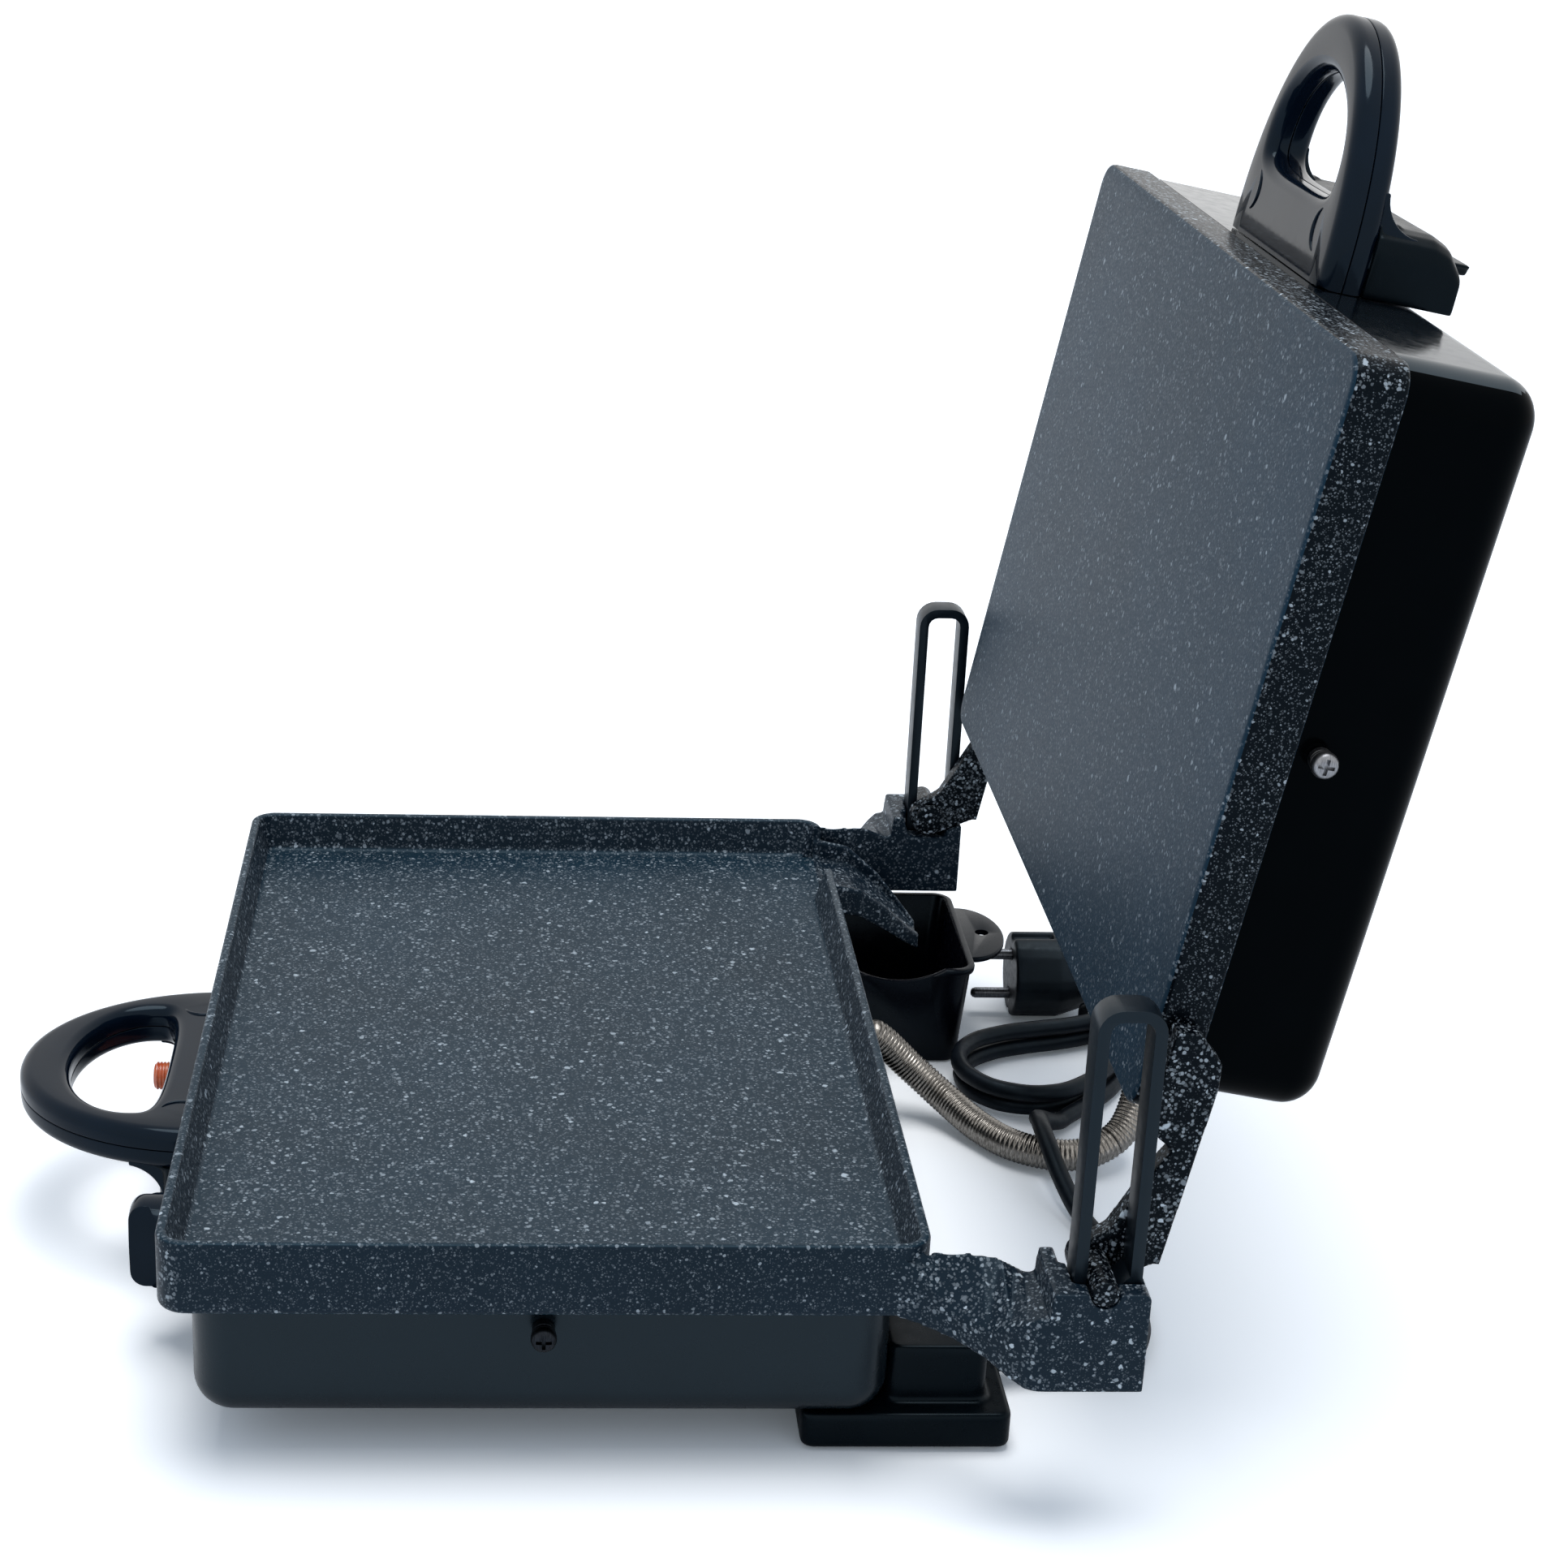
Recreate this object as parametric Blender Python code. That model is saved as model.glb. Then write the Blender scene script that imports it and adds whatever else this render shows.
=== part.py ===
"""Contact grill, open: a lower pan and a floating lid on two guide loops, with its drip cup and lead.

Metres, +Z up, +Y to the back, the knob end of the front at +X. The floor is z = 0.
Run with: blender --background --python part.py
"""
import math

import bmesh
import bpy
from mathutils import Matrix, Vector

# Fits
FIT_GAP = 0.0003
FLOOR_GAP = 0.0001
OVERRUN = 0.004
EDGE_ROUND = 0.0008
LEAST_RADIUS = 0.0008

# Pan: the cast lower plate
RIM_HEIGHT = 0.088
PAN_WIDTH = 0.369
PAN_DEPTH = 0.249
PAN_CORNER = 0.010
PAN_WALL_HEIGHT = 0.026
PAN_TRAY_DEPTH = 0.015
PAN_RIM_WIDTH = 0.0035
PAN_WALL_DRAFT = 0.003
PAN_TRAY_FILLET = 0.002
PAN_PLATE = 0.006
PAN_SKIRT = 0.0045
PAN_FOOT_ROUND = 0.002

# Spout at the far rear corner of the pan, and the chute behind it
SPOUT_WIDTH = 0.048
SPOUT_FROM_SIDE = 0.0095
CHUTE_REACH = 0.041
CHUTE_WALL = 0.003
CHUTE_FLOOR = 0.004
CHUTE_FALL = 0.024
CHUTE_LIP_HEIGHT = 0.009

# Hinge arms cast on the pan
ARM_REACH = 0.064
ARM_FLARE = 0.030
ARM_DROP = 0.0346
ARM_RISE = 0.0008
ARM_BLOCK_DEPTH = 0.0315
CHEEK_THICKNESS = 0.008
LEDGE_LEAD = 0.0040

# Guide loops and hinge pins
PIN_Y = 0.1740
PIN_RISE = 0.0004
PIN_DIAMETER = 0.009
PIN_HEAD_DIAMETER = 0.013
PIN_HEAD_LENGTH = 0.0028
LOOP_THICKNESS = 0.012
LOOP_LEG = 0.0039
LOOP_SLOT_SPARE = 0.0042
LOOP_HEIGHT = 0.0946
LOOP_FOOT_DEPTH = 0.026
LOOP_CORNER = 0.008
LOOP_SLOT_CORNER = 0.004
LOOP_SCREW_DIAMETER = 0.004
LOOP_SCREW_HEAD = 0.007
LOOP_SCREW_HEAD_HEIGHT = 0.0025
LOOP_SCREW_GRIP = 0.007

# Shells under the pan and over the lid
COVER_SIDE_MARGIN = 0.0105
COVER_END_MARGIN = 0.0092
COVER_DEPTH = 0.0470
COVER_CORNER = 0.014
COVER_FILLET = 0.012
COVER_SHEET = 0.0012

# Lid: the cast upper plate
LID_OPEN_ANGLE = math.radians(100.4)
LID_CLOSED_GAP = 0.0003
LID_LENGTH = 0.2465
LID_REAR_GAP = 0.0004
LID_WALL = 0.017
LID_PLATE = 0.008
LID_CORNER = 0.010
LID_FACE_ROUND = 0.002
LID_ARM_WIDTH = 0.0075
LID_ARM_STANDOFF = 0.0015
LID_ARM_ROOT = 0.004
LID_ARM_BACK = 0.0212
LID_ARM_SHOULDER = 0.0345
LID_ARM_HUB = 0.0082
LID_ARM_HEEL = 0.0465
LID_COVER_START = 0.003
LID_COVER_LENGTH = 0.243

# Handles: two half shells and a base block
HANDLE_HALF_WIDTH = 0.061
HANDLE_REACH_LOWER = 0.081
HANDLE_REACH_UPPER = 0.0835
HANDLE_THICKNESS = 0.016
HANDLE_STEM = 0.008
HANDLE_EDGE = 0.0018
HANDLE_HOLE_HALF_WIDTH = 0.042
HANDLE_HOLE_START = 0.0255
HANDLE_HOLE_MIDDLE = 0.035
HANDLE_RIM = 0.019
HANDLE_OFFSET_LOWER = 0.0010
HANDLE_OFFSET_UPPER = 0.0050
BLOCK_REACH = 0.0235
BLOCK_DEPTH = 0.0315
BLOCK_HALF_WIDTH = 0.062
BLOCK_LIP_HEIGHT = 0.0065
BLOCK_LIP_WIDTH = 0.100
BLOCK_LIP_THICKNESS = 0.004
BLOCK_WEDGE_WIDTH = 0.014
HANDLE_SCREW_SPREAD = 0.050
HANDLE_SCREW_DIAMETER = 0.004
HANDLE_SCREW_HEAD = 0.007

# Knob, thermostat and pilot lamp
KNOB_X = 0.100
KNOB_DROP = 0.048
KNOB_DIAMETER = 0.043
KNOB_GRIP_DIAMETER = 0.033
KNOB_SKIRT = 0.004
KNOB_LENGTH = 0.025
KNOB_GRIP_WIDTH = 0.009
KNOB_STANDOFF = 0.003
SHAFT_DIAMETER = 0.006
SHAFT_IN_KNOB = 0.014
BUSH_DIAMETER = 0.010
THERMOSTAT_DIAMETER = 0.026
THERMOSTAT_SHOULDER = 0.003
THERMOSTAT_LENGTH = 0.022
PILOT_X = 0.032
PILOT_DROP = 0.0165
PILOT_DIAMETER = 0.011
PILOT_LENS_LENGTH = 0.014
PILOT_LENS_PROUD = 0.012
PILOT_RIBS = 8

# Feet and the rear block
FOOT_DIAMETER = 0.022
FRONT_FOOT_X = 0.108
FRONT_FOOT_Y = 0.078
BLOCK_NEAR_X = 0.169
REAR_BLOCK_FRONT = 0.087
REAR_BLOCK_BACK = 0.158
REAR_BLOCK_STEP_BACK = 0.150
REAR_BLOCK_INNER_X = 0.108
REAR_BLOCK_FLOOR_GAP = 0.0016
REAR_BLOCK_TOP = 0.036
REAR_BLOCK_WALL = 0.0025
REAR_BLOCK_CORNER = 0.004
PAD_DIAMETER = 0.016
PAD_INSET = 0.0115
FAR_FOOT_X = -0.066
FAR_FOOT_WIDTH = 0.036
FAR_FOOT_BACK = 0.138

# Side screws with their nuts
SIDE_SCREW_DROP = 0.037
LID_SCREW_U = 0.1235
SCREW_DIAMETER = 0.004
SCREW_HEAD_DIAMETER = 0.0086
SCREW_HEAD_LENGTH = 0.0035
COLLAR_DIAMETER = 0.0076
COLLAR_LENGTH = 0.005
SCREW_TAIL = 0.012
NUT_DIAMETER = 0.009
NUT_LENGTH = 0.004

# Heating elements, clamps, insulation and terminals
ELEMENT_DIAMETER = 0.0065
ELEMENT_WIDTH = 0.260
ELEMENT_LENGTH = 0.150
ELEMENT_CORNER = 0.030
ELEMENT_TAIL_SPREAD = 0.030
ELEMENT_TAIL_LENGTH = 0.022
CLAMP_SHEET = 0.0015
CLAMP_WIDTH = 0.300
CLAMP_LENGTH = 0.186
CLAMP_CORNER = 0.040
INSULATION = 0.004
INSULATION_MARGIN = 0.020
TERMINAL_LENGTH = 0.040
TERMINAL_WIDTH = 0.016
TERMINAL_HEIGHT = 0.014
TERMINAL_WALL = 0.0014
TERMINAL_WAYS = 3

# Metal conduit
CONDUIT_DIAMETER = 0.013
CONDUIT_BORE = 0.009
CONDUIT_RIB_HEIGHT = 0.0007
CONDUIT_RIB_PITCH = 0.0034
CONDUIT_SIDES = 8
GLAND_DIAMETER = 0.018
GLAND_LENGTH = 0.010
GLAND_NECK = 0.0105
GLAND_TAIL = 0.006
CONDUIT_SPLIT_Y = 0.230
GLAND_X_BASE = -0.075
GLAND_Z_BASE = 0.036
GLAND_X_LID = -0.060
GLAND_W_LID = 0.040

# Route of the conduit between its two fittings: down to the floor, round and up to the lid
CONDUIT_ROUTE = (
    (-0.073, 0.1550, 0.0220), (-0.064, 0.1685, 0.0125), (-0.048, 0.1800, 0.0082), (-0.032, 0.1920, 0.0080),
    (-0.024, 0.2080, 0.0080), (-0.023, 0.2230, 0.0105), (-0.029, 0.2360, 0.0180), (-0.040, 0.2430, 0.0340),
    (-0.050, 0.2420, 0.0570), (-0.057, 0.2330, 0.0840),
)

# Drip cup, in plan from its own middle
CUP_X = -0.1585
CUP_Y = 0.155
CUP_RIM_WIDTH = 0.085
CUP_RIM_DEPTH = 0.066
CUP_FOOT_WIDTH = 0.075
CUP_FOOT_DEPTH = 0.056
CUP_HEIGHT = 0.046
CUP_WALL = 0.0018
CUP_CORNER = 0.007
CUP_LIP = 0.0015
CUP_LIP_HEIGHT = 0.003
CUP_DIP = 0.006
CUP_DIP_WIDTH = 0.040
CUP_TAB_LENGTH = 0.021
CUP_TAB_WIDTH = 0.054
CUP_TAB_THICKNESS = 0.0025
CUP_TAB_HOLE = 0.006

# Plug and lead
CORD_DIAMETER = 0.0072
CORD_STEP = 0.018
CORD_STRAIGHT = 0.0075
PLUG_X = -0.172
PLUG_FRONT_Y = 0.213
PLUG_DIAMETER = 0.038
PLUG_LENGTH = 0.037
PLUG_NECK_LENGTH = 0.014
PLUG_NECK_DIAMETER = 0.013
PLUG_PIN_DIAMETER = 0.0048
PLUG_PIN_SPACING = 0.019
PLUG_PIN_LENGTH = 0.017
PLUG_PIN_SEAT = 0.006
PLUG_GROOVE = 0.005
RELIEF_X = 0.125
RELIEF_Z = 0.012
RELIEF_LENGTH = 0.026
RELIEF_DIAMETER = 0.013
RELIEF_COLLAR = 0.003
RELIEF_TIP_WALL = 0.0012

# Hank of cord, tied at its waist
HANK_START = (-0.096, 0.207)
HANK_HEADING = math.radians(125.0)
HANK_RUN = 0.120
HANK_FOLD_RADIUS = 0.0225
HANK_STEP = 0.0085
HANK_LAYER = 0.0079
HANK_WAIST_DRAW = 0.0145
HANK_LAYER_TURNS = 1.25
HANK_POINTS_PER_TURN = 24
TIE_WIDTH = 0.006
TIE_THICKNESS = 0.0008
TIE_GAP = 0.0006

# Route of the lead from the strain relief to the hank, and from the hank to the plug
LEAD_ROUTE = (
    (0.124, 0.1985, 0.0090), (0.116, 0.2095, 0.0055), (0.101, 0.2165, 0.0037), (0.080, 0.2190, 0.0037),
    (0.058, 0.2185, 0.0037),
    (0.036, 0.2150, 0.0037), (0.014, 0.2090, 0.0060), (-0.006, 0.2040, 0.0140), (-0.026, 0.2020, 0.0195),
    (-0.044, 0.2040, 0.0135), (-0.058, 0.2110, 0.0060),
)
TAIL_ROUTE = (
    (-0.1775, 0.2745, 0.0165),
)

# Sides used for round work
CORNER_STEPS = 4
FILLET_STEPS = 4
ROUND_SIDES = 24
SMALL_SIDES = 16
ELEMENT_SIDES = 8
HANDLE_STEPS = 24

RIM = RIM_HEIGHT
PAN_FLOOR = RIM_HEIGHT - PAN_TRAY_DEPTH
PAN_UNDERSIDE = PAN_FLOOR - PAN_PLATE
PAN_BOTTOM = RIM_HEIGHT - PAN_WALL_HEIGHT
COVER_BOTTOM = PAN_BOTTOM - COVER_DEPTH
COVER_HALF_WIDTH = PAN_WIDTH / 2 - COVER_SIDE_MARGIN
COVER_HALF_DEPTH = PAN_DEPTH / 2 - COVER_END_MARGIN
PIN_Z = RIM_HEIGHT + PIN_RISE
PIN_RADIUS = PIN_DIAMETER / 2
SLOT_HALF = PIN_RADIUS + FIT_GAP
LOOP_SPAN = 2 * SLOT_HALF + LOOP_SLOT_SPARE + 2 * LOOP_LEG
LOOP_FRONT_Y = PIN_Y - SLOT_HALF - LOOP_LEG
LOOP_BACK_Y = LOOP_FRONT_Y + LOOP_SPAN
ARM_OUTER_X = PAN_WIDTH / 2 + ARM_FLARE
ARM_END_Y = PAN_DEPTH / 2 + ARM_REACH
LOOP_OUTER_X = ARM_OUTER_X - CHEEK_THICKNESS - FIT_GAP
LOOP_INNER_X = LOOP_OUTER_X - LOOP_THICKNESS
LID_SETBACK = PIN_Y - PAN_DEPTH / 2 - LID_REAR_GAP
LID_PIN_W = PIN_RISE - LID_CLOSED_GAP
LID_ARM_INNER_X = PAN_WIDTH / 2 + LID_ARM_STANDOFF
LID_ARM_OUTER_X = LID_ARM_INNER_X + LID_ARM_WIDTH
LID_BACK = LID_WALL + COVER_DEPTH
LID_TILT = math.pi - LID_OPEN_ANGLE
CORD_RADIUS = CORD_DIAMETER / 2


# Mesh helpers

def finish(name, colour, roughness, metallic=0.0):
    """A plain Principled material."""
    material = bpy.data.materials.get(name)
    if material is None:
        material = bpy.data.materials.new(name)
        material.use_nodes = True
        shader = material.node_tree.nodes["Principled BSDF"]
        shader.inputs["Base Color"].default_value = (*colour, 1.0)
        shader.inputs["Roughness"].default_value = roughness
        shader.inputs["Metallic"].default_value = metallic
        material.diffuse_color = (*colour, 1.0)
    return material


def to_mesh(name, work, smooth_angle=35):
    """Close a bmesh off as a mesh with smooth round sides and sharp edges."""
    bmesh.ops.recalc_face_normals(work, faces=work.faces)
    mesh = bpy.data.meshes.new(name)
    work.to_mesh(mesh)
    work.free()
    mesh.shade_smooth()
    mesh.set_sharp_from_angle(angle=math.radians(smooth_angle))
    return mesh


def loft(rings, closed=False):
    """Skin a list of rings that hold as many points each; flat caps unless the rings close on themselves."""
    work = bmesh.new()
    grid = []
    for ring in rings:
        grid.append([work.verts.new(point) for point in ring])
    pairs = list(zip(grid, grid[1:]))
    if closed:
        pairs.append((grid[-1], grid[0]))
    for one, two in pairs:
        for index in range(len(one)):
            after = (index + 1) % len(one)
            work.faces.new((one[index], one[after], two[after], two[index]))
    if not closed:
        work.faces.new(list(reversed(grid[0])))
        work.faces.new(grid[-1])
    return work


def rounded_rect(width, depth, radius, steps=CORNER_STEPS):
    """Points of a rectangle with round corners, counter-clockwise about the origin."""
    radius = max(radius, LEAST_RADIUS)
    points = []
    corners = ((1, 1), (-1, 1), (-1, -1), (1, -1))
    for corner, (across, along) in enumerate(corners):
        for step in range(steps + 1):
            angle = math.pi / 2 * (corner + step / steps)
            x = across * (width / 2 - radius) + radius * math.cos(angle)
            y = along * (depth / 2 - radius) + radius * math.sin(angle)
            points.append((x, y))
    return points


def inset_rings(width, depth, radius, levels, middle=(0.0, 0.0)):
    """Rings of a rounded rectangle, one for each (inset, height) of levels."""
    rings = []
    for inset, height in levels:
        outline = rounded_rect(width - 2 * inset, depth - 2 * inset, radius - inset)
        rings.append([(x + middle[0], y + middle[1], height) for x, y in outline])
    return rings


def prism(outline, low, high, axis="z"):
    """Extrude a 2-D outline along an axis: (y, z) points along x, (x, z) along y, (x, y) along z."""
    def lift(point, level):
        if axis == "x":
            return (level, point[0], point[1])
        if axis == "y":
            return (point[0], level, point[1])
        return (point[0], point[1], level)
    return loft([[lift(point, low) for point in outline], [lift(point, high) for point in outline]])


def box(low, high):
    """A box between two corners."""
    outline = [(low[0], low[1]), (high[0], low[1]), (high[0], high[1]), (low[0], high[1])]
    return prism(outline, low[2], high[2])


def circle(radius, sides, height=0.0, middle=(0.0, 0.0)):
    """A ring of points round the Z axis."""
    ring = []
    for step in range(sides):
        angle = 2 * math.pi * step / sides
        ring.append((middle[0] + radius * math.cos(angle), middle[1] + radius * math.sin(angle), height))
    return ring


def turned(profile, sides=ROUND_SIDES, closed=False):
    """Turn (radius, height) pairs round the Z axis."""
    return loft([circle(radius, sides, height) for radius, height in profile], closed)


def nut_bore(radius):
    """Corner radius of a six-sided bore that clears a round bar."""
    return (radius + FIT_GAP) / math.cos(math.pi / 6)


def arc_points(middle, radius, start, end, steps):
    """Points on an arc, angles in degrees, both ends in."""
    points = []
    for step in range(steps + 1):
        angle = math.radians(start + (end - start) * step / steps)
        points.append((middle[0] + radius * math.cos(angle), middle[1] + radius * math.sin(angle)))
    return points


def smooth_route(points, step):
    """Even points on a Catmull-Rom curve through the given ones; the first and last runs stay straight."""
    ends = [Vector(point) for point in points]
    fine = []
    pieces = 24
    for before, here, there, after in zip(ends, ends[1:], ends[2:], ends[3:]):
        for index in range(pieces):
            t = index / pieces
            bend = (-before + 3 * here - 3 * there + after) * t ** 3
            bend += (2 * before - 5 * here + 4 * there - after) * t ** 2
            bend += (there - before) * t
            fine.append(here + bend / 2)
    fine.append(ends[-2])
    lengths = [0.0]
    for one, two in zip(fine, fine[1:]):
        lengths.append(lengths[-1] + (two - one).length)
    count = max(2, round(lengths[-1] / step))
    even = [ends[0]]
    index = 0
    for number in range(count + 1):
        target = lengths[-1] * number / count
        while index < len(fine) - 2 and lengths[index + 1] < target:
            index += 1
        span = lengths[index + 1] - lengths[index]
        share = (target - lengths[index]) / span
        even.append(fine[index].lerp(fine[index + 1], share))
    even.append(ends[-1])
    return even


def tube_rings(points, radii, sides, first=None, last=None):
    """Rings round a route, carried along it without twist; the end faces can be given their directions."""
    rings = []
    side = None
    for index, point in enumerate(points):
        before = points[max(index - 1, 0)]
        after = points[min(index + 1, len(points) - 1)]
        ahead = (after - before).normalized()
        if index == 0 and first is not None:
            ahead = first
        if index == len(points) - 1 and last is not None:
            ahead = last
        if side is None:
            side = ahead.orthogonal().normalized()
        side = (side - ahead * side.dot(ahead)).normalized()
        other = ahead.cross(side)
        ring = []
        for step in range(sides):
            angle = 2 * math.pi * step / sides
            ring.append(point + radii[index] * (math.cos(angle) * side + math.sin(angle) * other))
        rings.append(ring)
    return rings


def place(name, work, material, parent, location=(0.0, 0.0, 0.0), rotation=(0.0, 0.0, 0.0)):
    """Make a named piece from a bmesh."""
    piece = bpy.data.objects.new(name, to_mesh(name, work))
    piece.data.materials.append(material)
    piece.parent = parent
    piece.location = location
    piece.rotation_euler = rotation
    bpy.context.scene.collection.objects.link(piece)
    return piece


def empty(name, parent=None, location=(0.0, 0.0, 0.0), rotation=(0.0, 0.0, 0.0)):
    """A frame that pieces hang on."""
    frame = bpy.data.objects.new(name, None)
    frame.parent = parent
    frame.location = location
    frame.rotation_euler = rotation
    bpy.context.scene.collection.objects.link(frame)
    return frame


def shape_with(piece, work, operation):
    """Cut a piece with a hidden tool, or join the tool to it."""
    tool = bpy.data.objects.new(piece.name + "_tool", to_mesh(piece.name + "_tool", work))
    tool.parent = piece.parent
    tool.location = piece.location
    tool.rotation_euler = piece.rotation_euler
    tool.hide_render = True
    tool.display_type = "WIRE"
    bpy.context.scene.collection.objects.link(tool)
    change = piece.modifiers.new(operation.lower(), "BOOLEAN")
    change.operation = operation
    change.solver = "EXACT"
    change.object = tool
    return piece


def cylinder(start, end, radius, sides=SMALL_SIDES):
    """A plain round bar between two points."""
    one = Vector(start)
    two = Vector(end)
    return loft(tube_rings([one, two], [radius, radius], sides))


# Finishes, colours as linear values

def granite():
    return finish("granite_coating", (0.028, 0.036, 0.046), 0.42)


def black_enamel():
    return finish("black_enamel", (0.012, 0.016, 0.022), 0.25)


def black_plastic():
    return finish("black_plastic", (0.010, 0.013, 0.018), 0.30)


def steel():
    return finish("bright_steel", (0.55, 0.54, 0.52), 0.28, 1.0)


def zinc():
    return finish("zinc_plate", (0.42, 0.42, 0.42), 0.42, 1.0)


def rubber():
    return finish("black_rubber", (0.010, 0.011, 0.013), 0.62)


def ceramic():
    return finish("ceramic_white", (0.75, 0.74, 0.70), 0.55)


def mica():
    return finish("mica_sheet", (0.62, 0.58, 0.48), 0.70)


def amber():
    return finish("amber_lens", (0.80, 0.16, 0.03), 0.20)


# Pan

def arm_block(side):
    """One hinge arm as sections from front to back: a flared web, then the block that holds the loop."""
    # Each row: place along the reach, inner and outer side of the flare, top inside, top outside and bottom.
    station_shares = (
        (-0.190, -0.080, -0.010, -0.08, -0.10, -0.74),
        (-0.055, -0.070, 0.086, -0.07, -0.30, -0.78),
        (0.100, -0.110, 0.300, -0.08, -0.56, -0.82),
        (0.240, -0.070, 0.600, -0.09, -0.55, -0.86),
        (0.340, -0.030, 0.830, -0.12, -0.43, -0.94),
        (0.410, -0.014, 0.940, -0.19, -0.31, -0.99),
        (0.460, -0.014, 0.990, -0.24, -0.24, -1.00),
    )
    half = PAN_WIDTH / 2
    rings = []
    for along, inner, outer, top_in, top_out, bottom in station_shares:
        y = PAN_DEPTH / 2 + ARM_REACH * along
        x_in = side * (half + ARM_FLARE * inner)
        x_out = side * (half + ARM_FLARE * outer)
        rings.append([
            (x_in, y, RIM + ARM_DROP * bottom), (x_out, y, RIM + ARM_DROP * bottom),
            (x_out, y, RIM + ARM_DROP * top_out), (x_in, y, RIM + ARM_DROP * top_in),
        ])
    block_start = ARM_END_Y - ARM_BLOCK_DEPTH
    low_top = RIM + ARM_DROP * station_shares[-1][3]
    block_inner = half + ARM_FLARE * station_shares[-1][1]
    for y, top in (
        (block_start, low_top), (block_start + EDGE_ROUND, RIM + ARM_RISE),
        (ARM_END_Y - 2 * EDGE_ROUND, RIM + ARM_RISE), (ARM_END_Y, RIM + ARM_RISE - 2 * EDGE_ROUND),
    ):
        rings.append([
            (side * block_inner, y, RIM - ARM_DROP), (side * ARM_OUTER_X, y, RIM - ARM_DROP),
            (side * ARM_OUTER_X, y, top), (side * block_inner, y, top),
        ])
    return loft(rings)


def hub_tangent():
    """Direction from the pin, in (u, w), at which the heel's face leaves the hub."""
    across = LID_ARM_BACK - LID_ARM_ROOT / 2 - LID_PIN_W
    along = LID_SETBACK - LID_ARM_HEEL
    return math.atan2(across, along) + math.acos(LID_ARM_HUB / math.hypot(across, along))


def heel_line(y):
    """Height of the open lid's heel over the arm at a place y."""
    angle = hub_tangent()
    toe = lid_point(LID_ARM_HUB * math.cos(angle) - LID_SETBACK, LID_PIN_W + LID_ARM_HUB * math.sin(angle))
    heel = lid_point(-LID_ARM_HEEL, LID_ARM_BACK - LID_ARM_ROOT / 2)
    share = (y - toe[0]) / (heel[0] - toe[0])
    return toe[1] + (heel[1] - toe[1]) * share


def lid_point(u, w):
    """Place (y, z) of a lid point with the lid open: u along the face from the hinge edge, w behind it."""
    along = u + LID_SETBACK
    out = LID_PIN_W - w
    y = PIN_Y + along * math.cos(LID_TILT) - out * math.sin(LID_TILT)
    z = PIN_Z + along * math.sin(LID_TILT) + out * math.cos(LID_TILT)
    return y, z


def ledge_cut(side):
    """Room for the lid arm's hub over the inner half of an arm, and the sloped ledge its heel rests on."""
    sweep = LID_ARM_HUB + 2 * FIT_GAP
    back_share = 0.86
    back = PIN_Y + sweep * back_share
    end = ARM_END_Y + OVERRUN
    top = RIM + ARM_RISE + OVERRUN
    outline = [
        (PIN_Y - sweep, PIN_Z - sweep), (back, PIN_Z - sweep), (back, heel_line(back) - FIT_GAP),
        (end, heel_line(end) - FIT_GAP), (end, top), (PIN_Y - sweep - LEDGE_LEAD, top),
    ]
    low, high = sorted((side * (PAN_WIDTH / 2 - OVERRUN), side * (LOOP_INNER_X - FIT_GAP)))
    return prism(outline, low, high, "x")


def loop_recess(side):
    """The slot that a guide loop stands in."""
    low, high = sorted((side * (LOOP_INNER_X - 2 * FIT_GAP), side * (LOOP_OUTER_X + FIT_GAP)))
    return box(
        (low, LOOP_FRONT_Y - FIT_GAP, RIM - LOOP_FOOT_DEPTH),
        (high, LOOP_BACK_Y + FIT_GAP, RIM + ARM_RISE + OVERRUN),
    )


def pin_pocket(side):
    """The open-topped pocket of the outer cheek."""
    outline = arc_points((PIN_Y, PIN_Z), SLOT_HALF, 180, 360, 10)
    outline += [(PIN_Y + SLOT_HALF, RIM + ARM_RISE + OVERRUN), (PIN_Y - SLOT_HALF, RIM + ARM_RISE + OVERRUN)]
    low, high = sorted((side * LOOP_OUTER_X, side * (ARM_OUTER_X + OVERRUN)))
    return prism(outline, low, high, "x")


def loop_screw_bore(side):
    """Bore from under an arm into the foot of its loop."""
    x = side * (LOOP_INNER_X + LOOP_OUTER_X) / 2
    radius = LOOP_SCREW_DIAMETER / 2 + FIT_GAP
    return cylinder((x, PIN_Y, RIM - ARM_DROP - OVERRUN), (x, PIN_Y, RIM - LOOP_FOOT_DEPTH + OVERRUN), radius)


def chute():
    """Trough behind the spout: it narrows and falls towards the cup."""
    # Each row: place along the reach, half width, shift to the near side and lip height, as shares.
    section_shares = (
        (-0.09, 0.54, 0.00, 1.00, 0.00), (0.30, 0.53, 0.00, 0.90, 0.10),
        (0.62, 0.44, 0.02, 0.70, 0.45), (0.86, 0.30, 0.04, 0.45, 0.80), (1.00, 0.16, 0.05, 0.30, 1.00),
    )
    middle = -(PAN_WIDTH / 2 - SPOUT_FROM_SIDE - SPOUT_WIDTH / 2)
    rings = []
    for along, half_share, shift, lip, fall in section_shares:
        y = PAN_DEPTH / 2 + CHUTE_REACH * along
        centre = middle + SPOUT_WIDTH * shift
        half = SPOUT_WIDTH * half_share
        floor = PAN_FLOOR - CHUTE_FALL * fall
        top = floor + CHUTE_LIP_HEIGHT * lip
        bottom = floor - CHUTE_FLOOR
        inner = half - CHUTE_WALL
        rings.append([
            (centre - half, y, bottom), (centre + half, y, bottom), (centre + half, y, top),
            (centre + inner, y, top), (centre + inner, y, floor), (centre - inner, y, floor),
            (centre - inner, y, top), (centre - half, y, top),
        ])
    return loft(rings)


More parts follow.
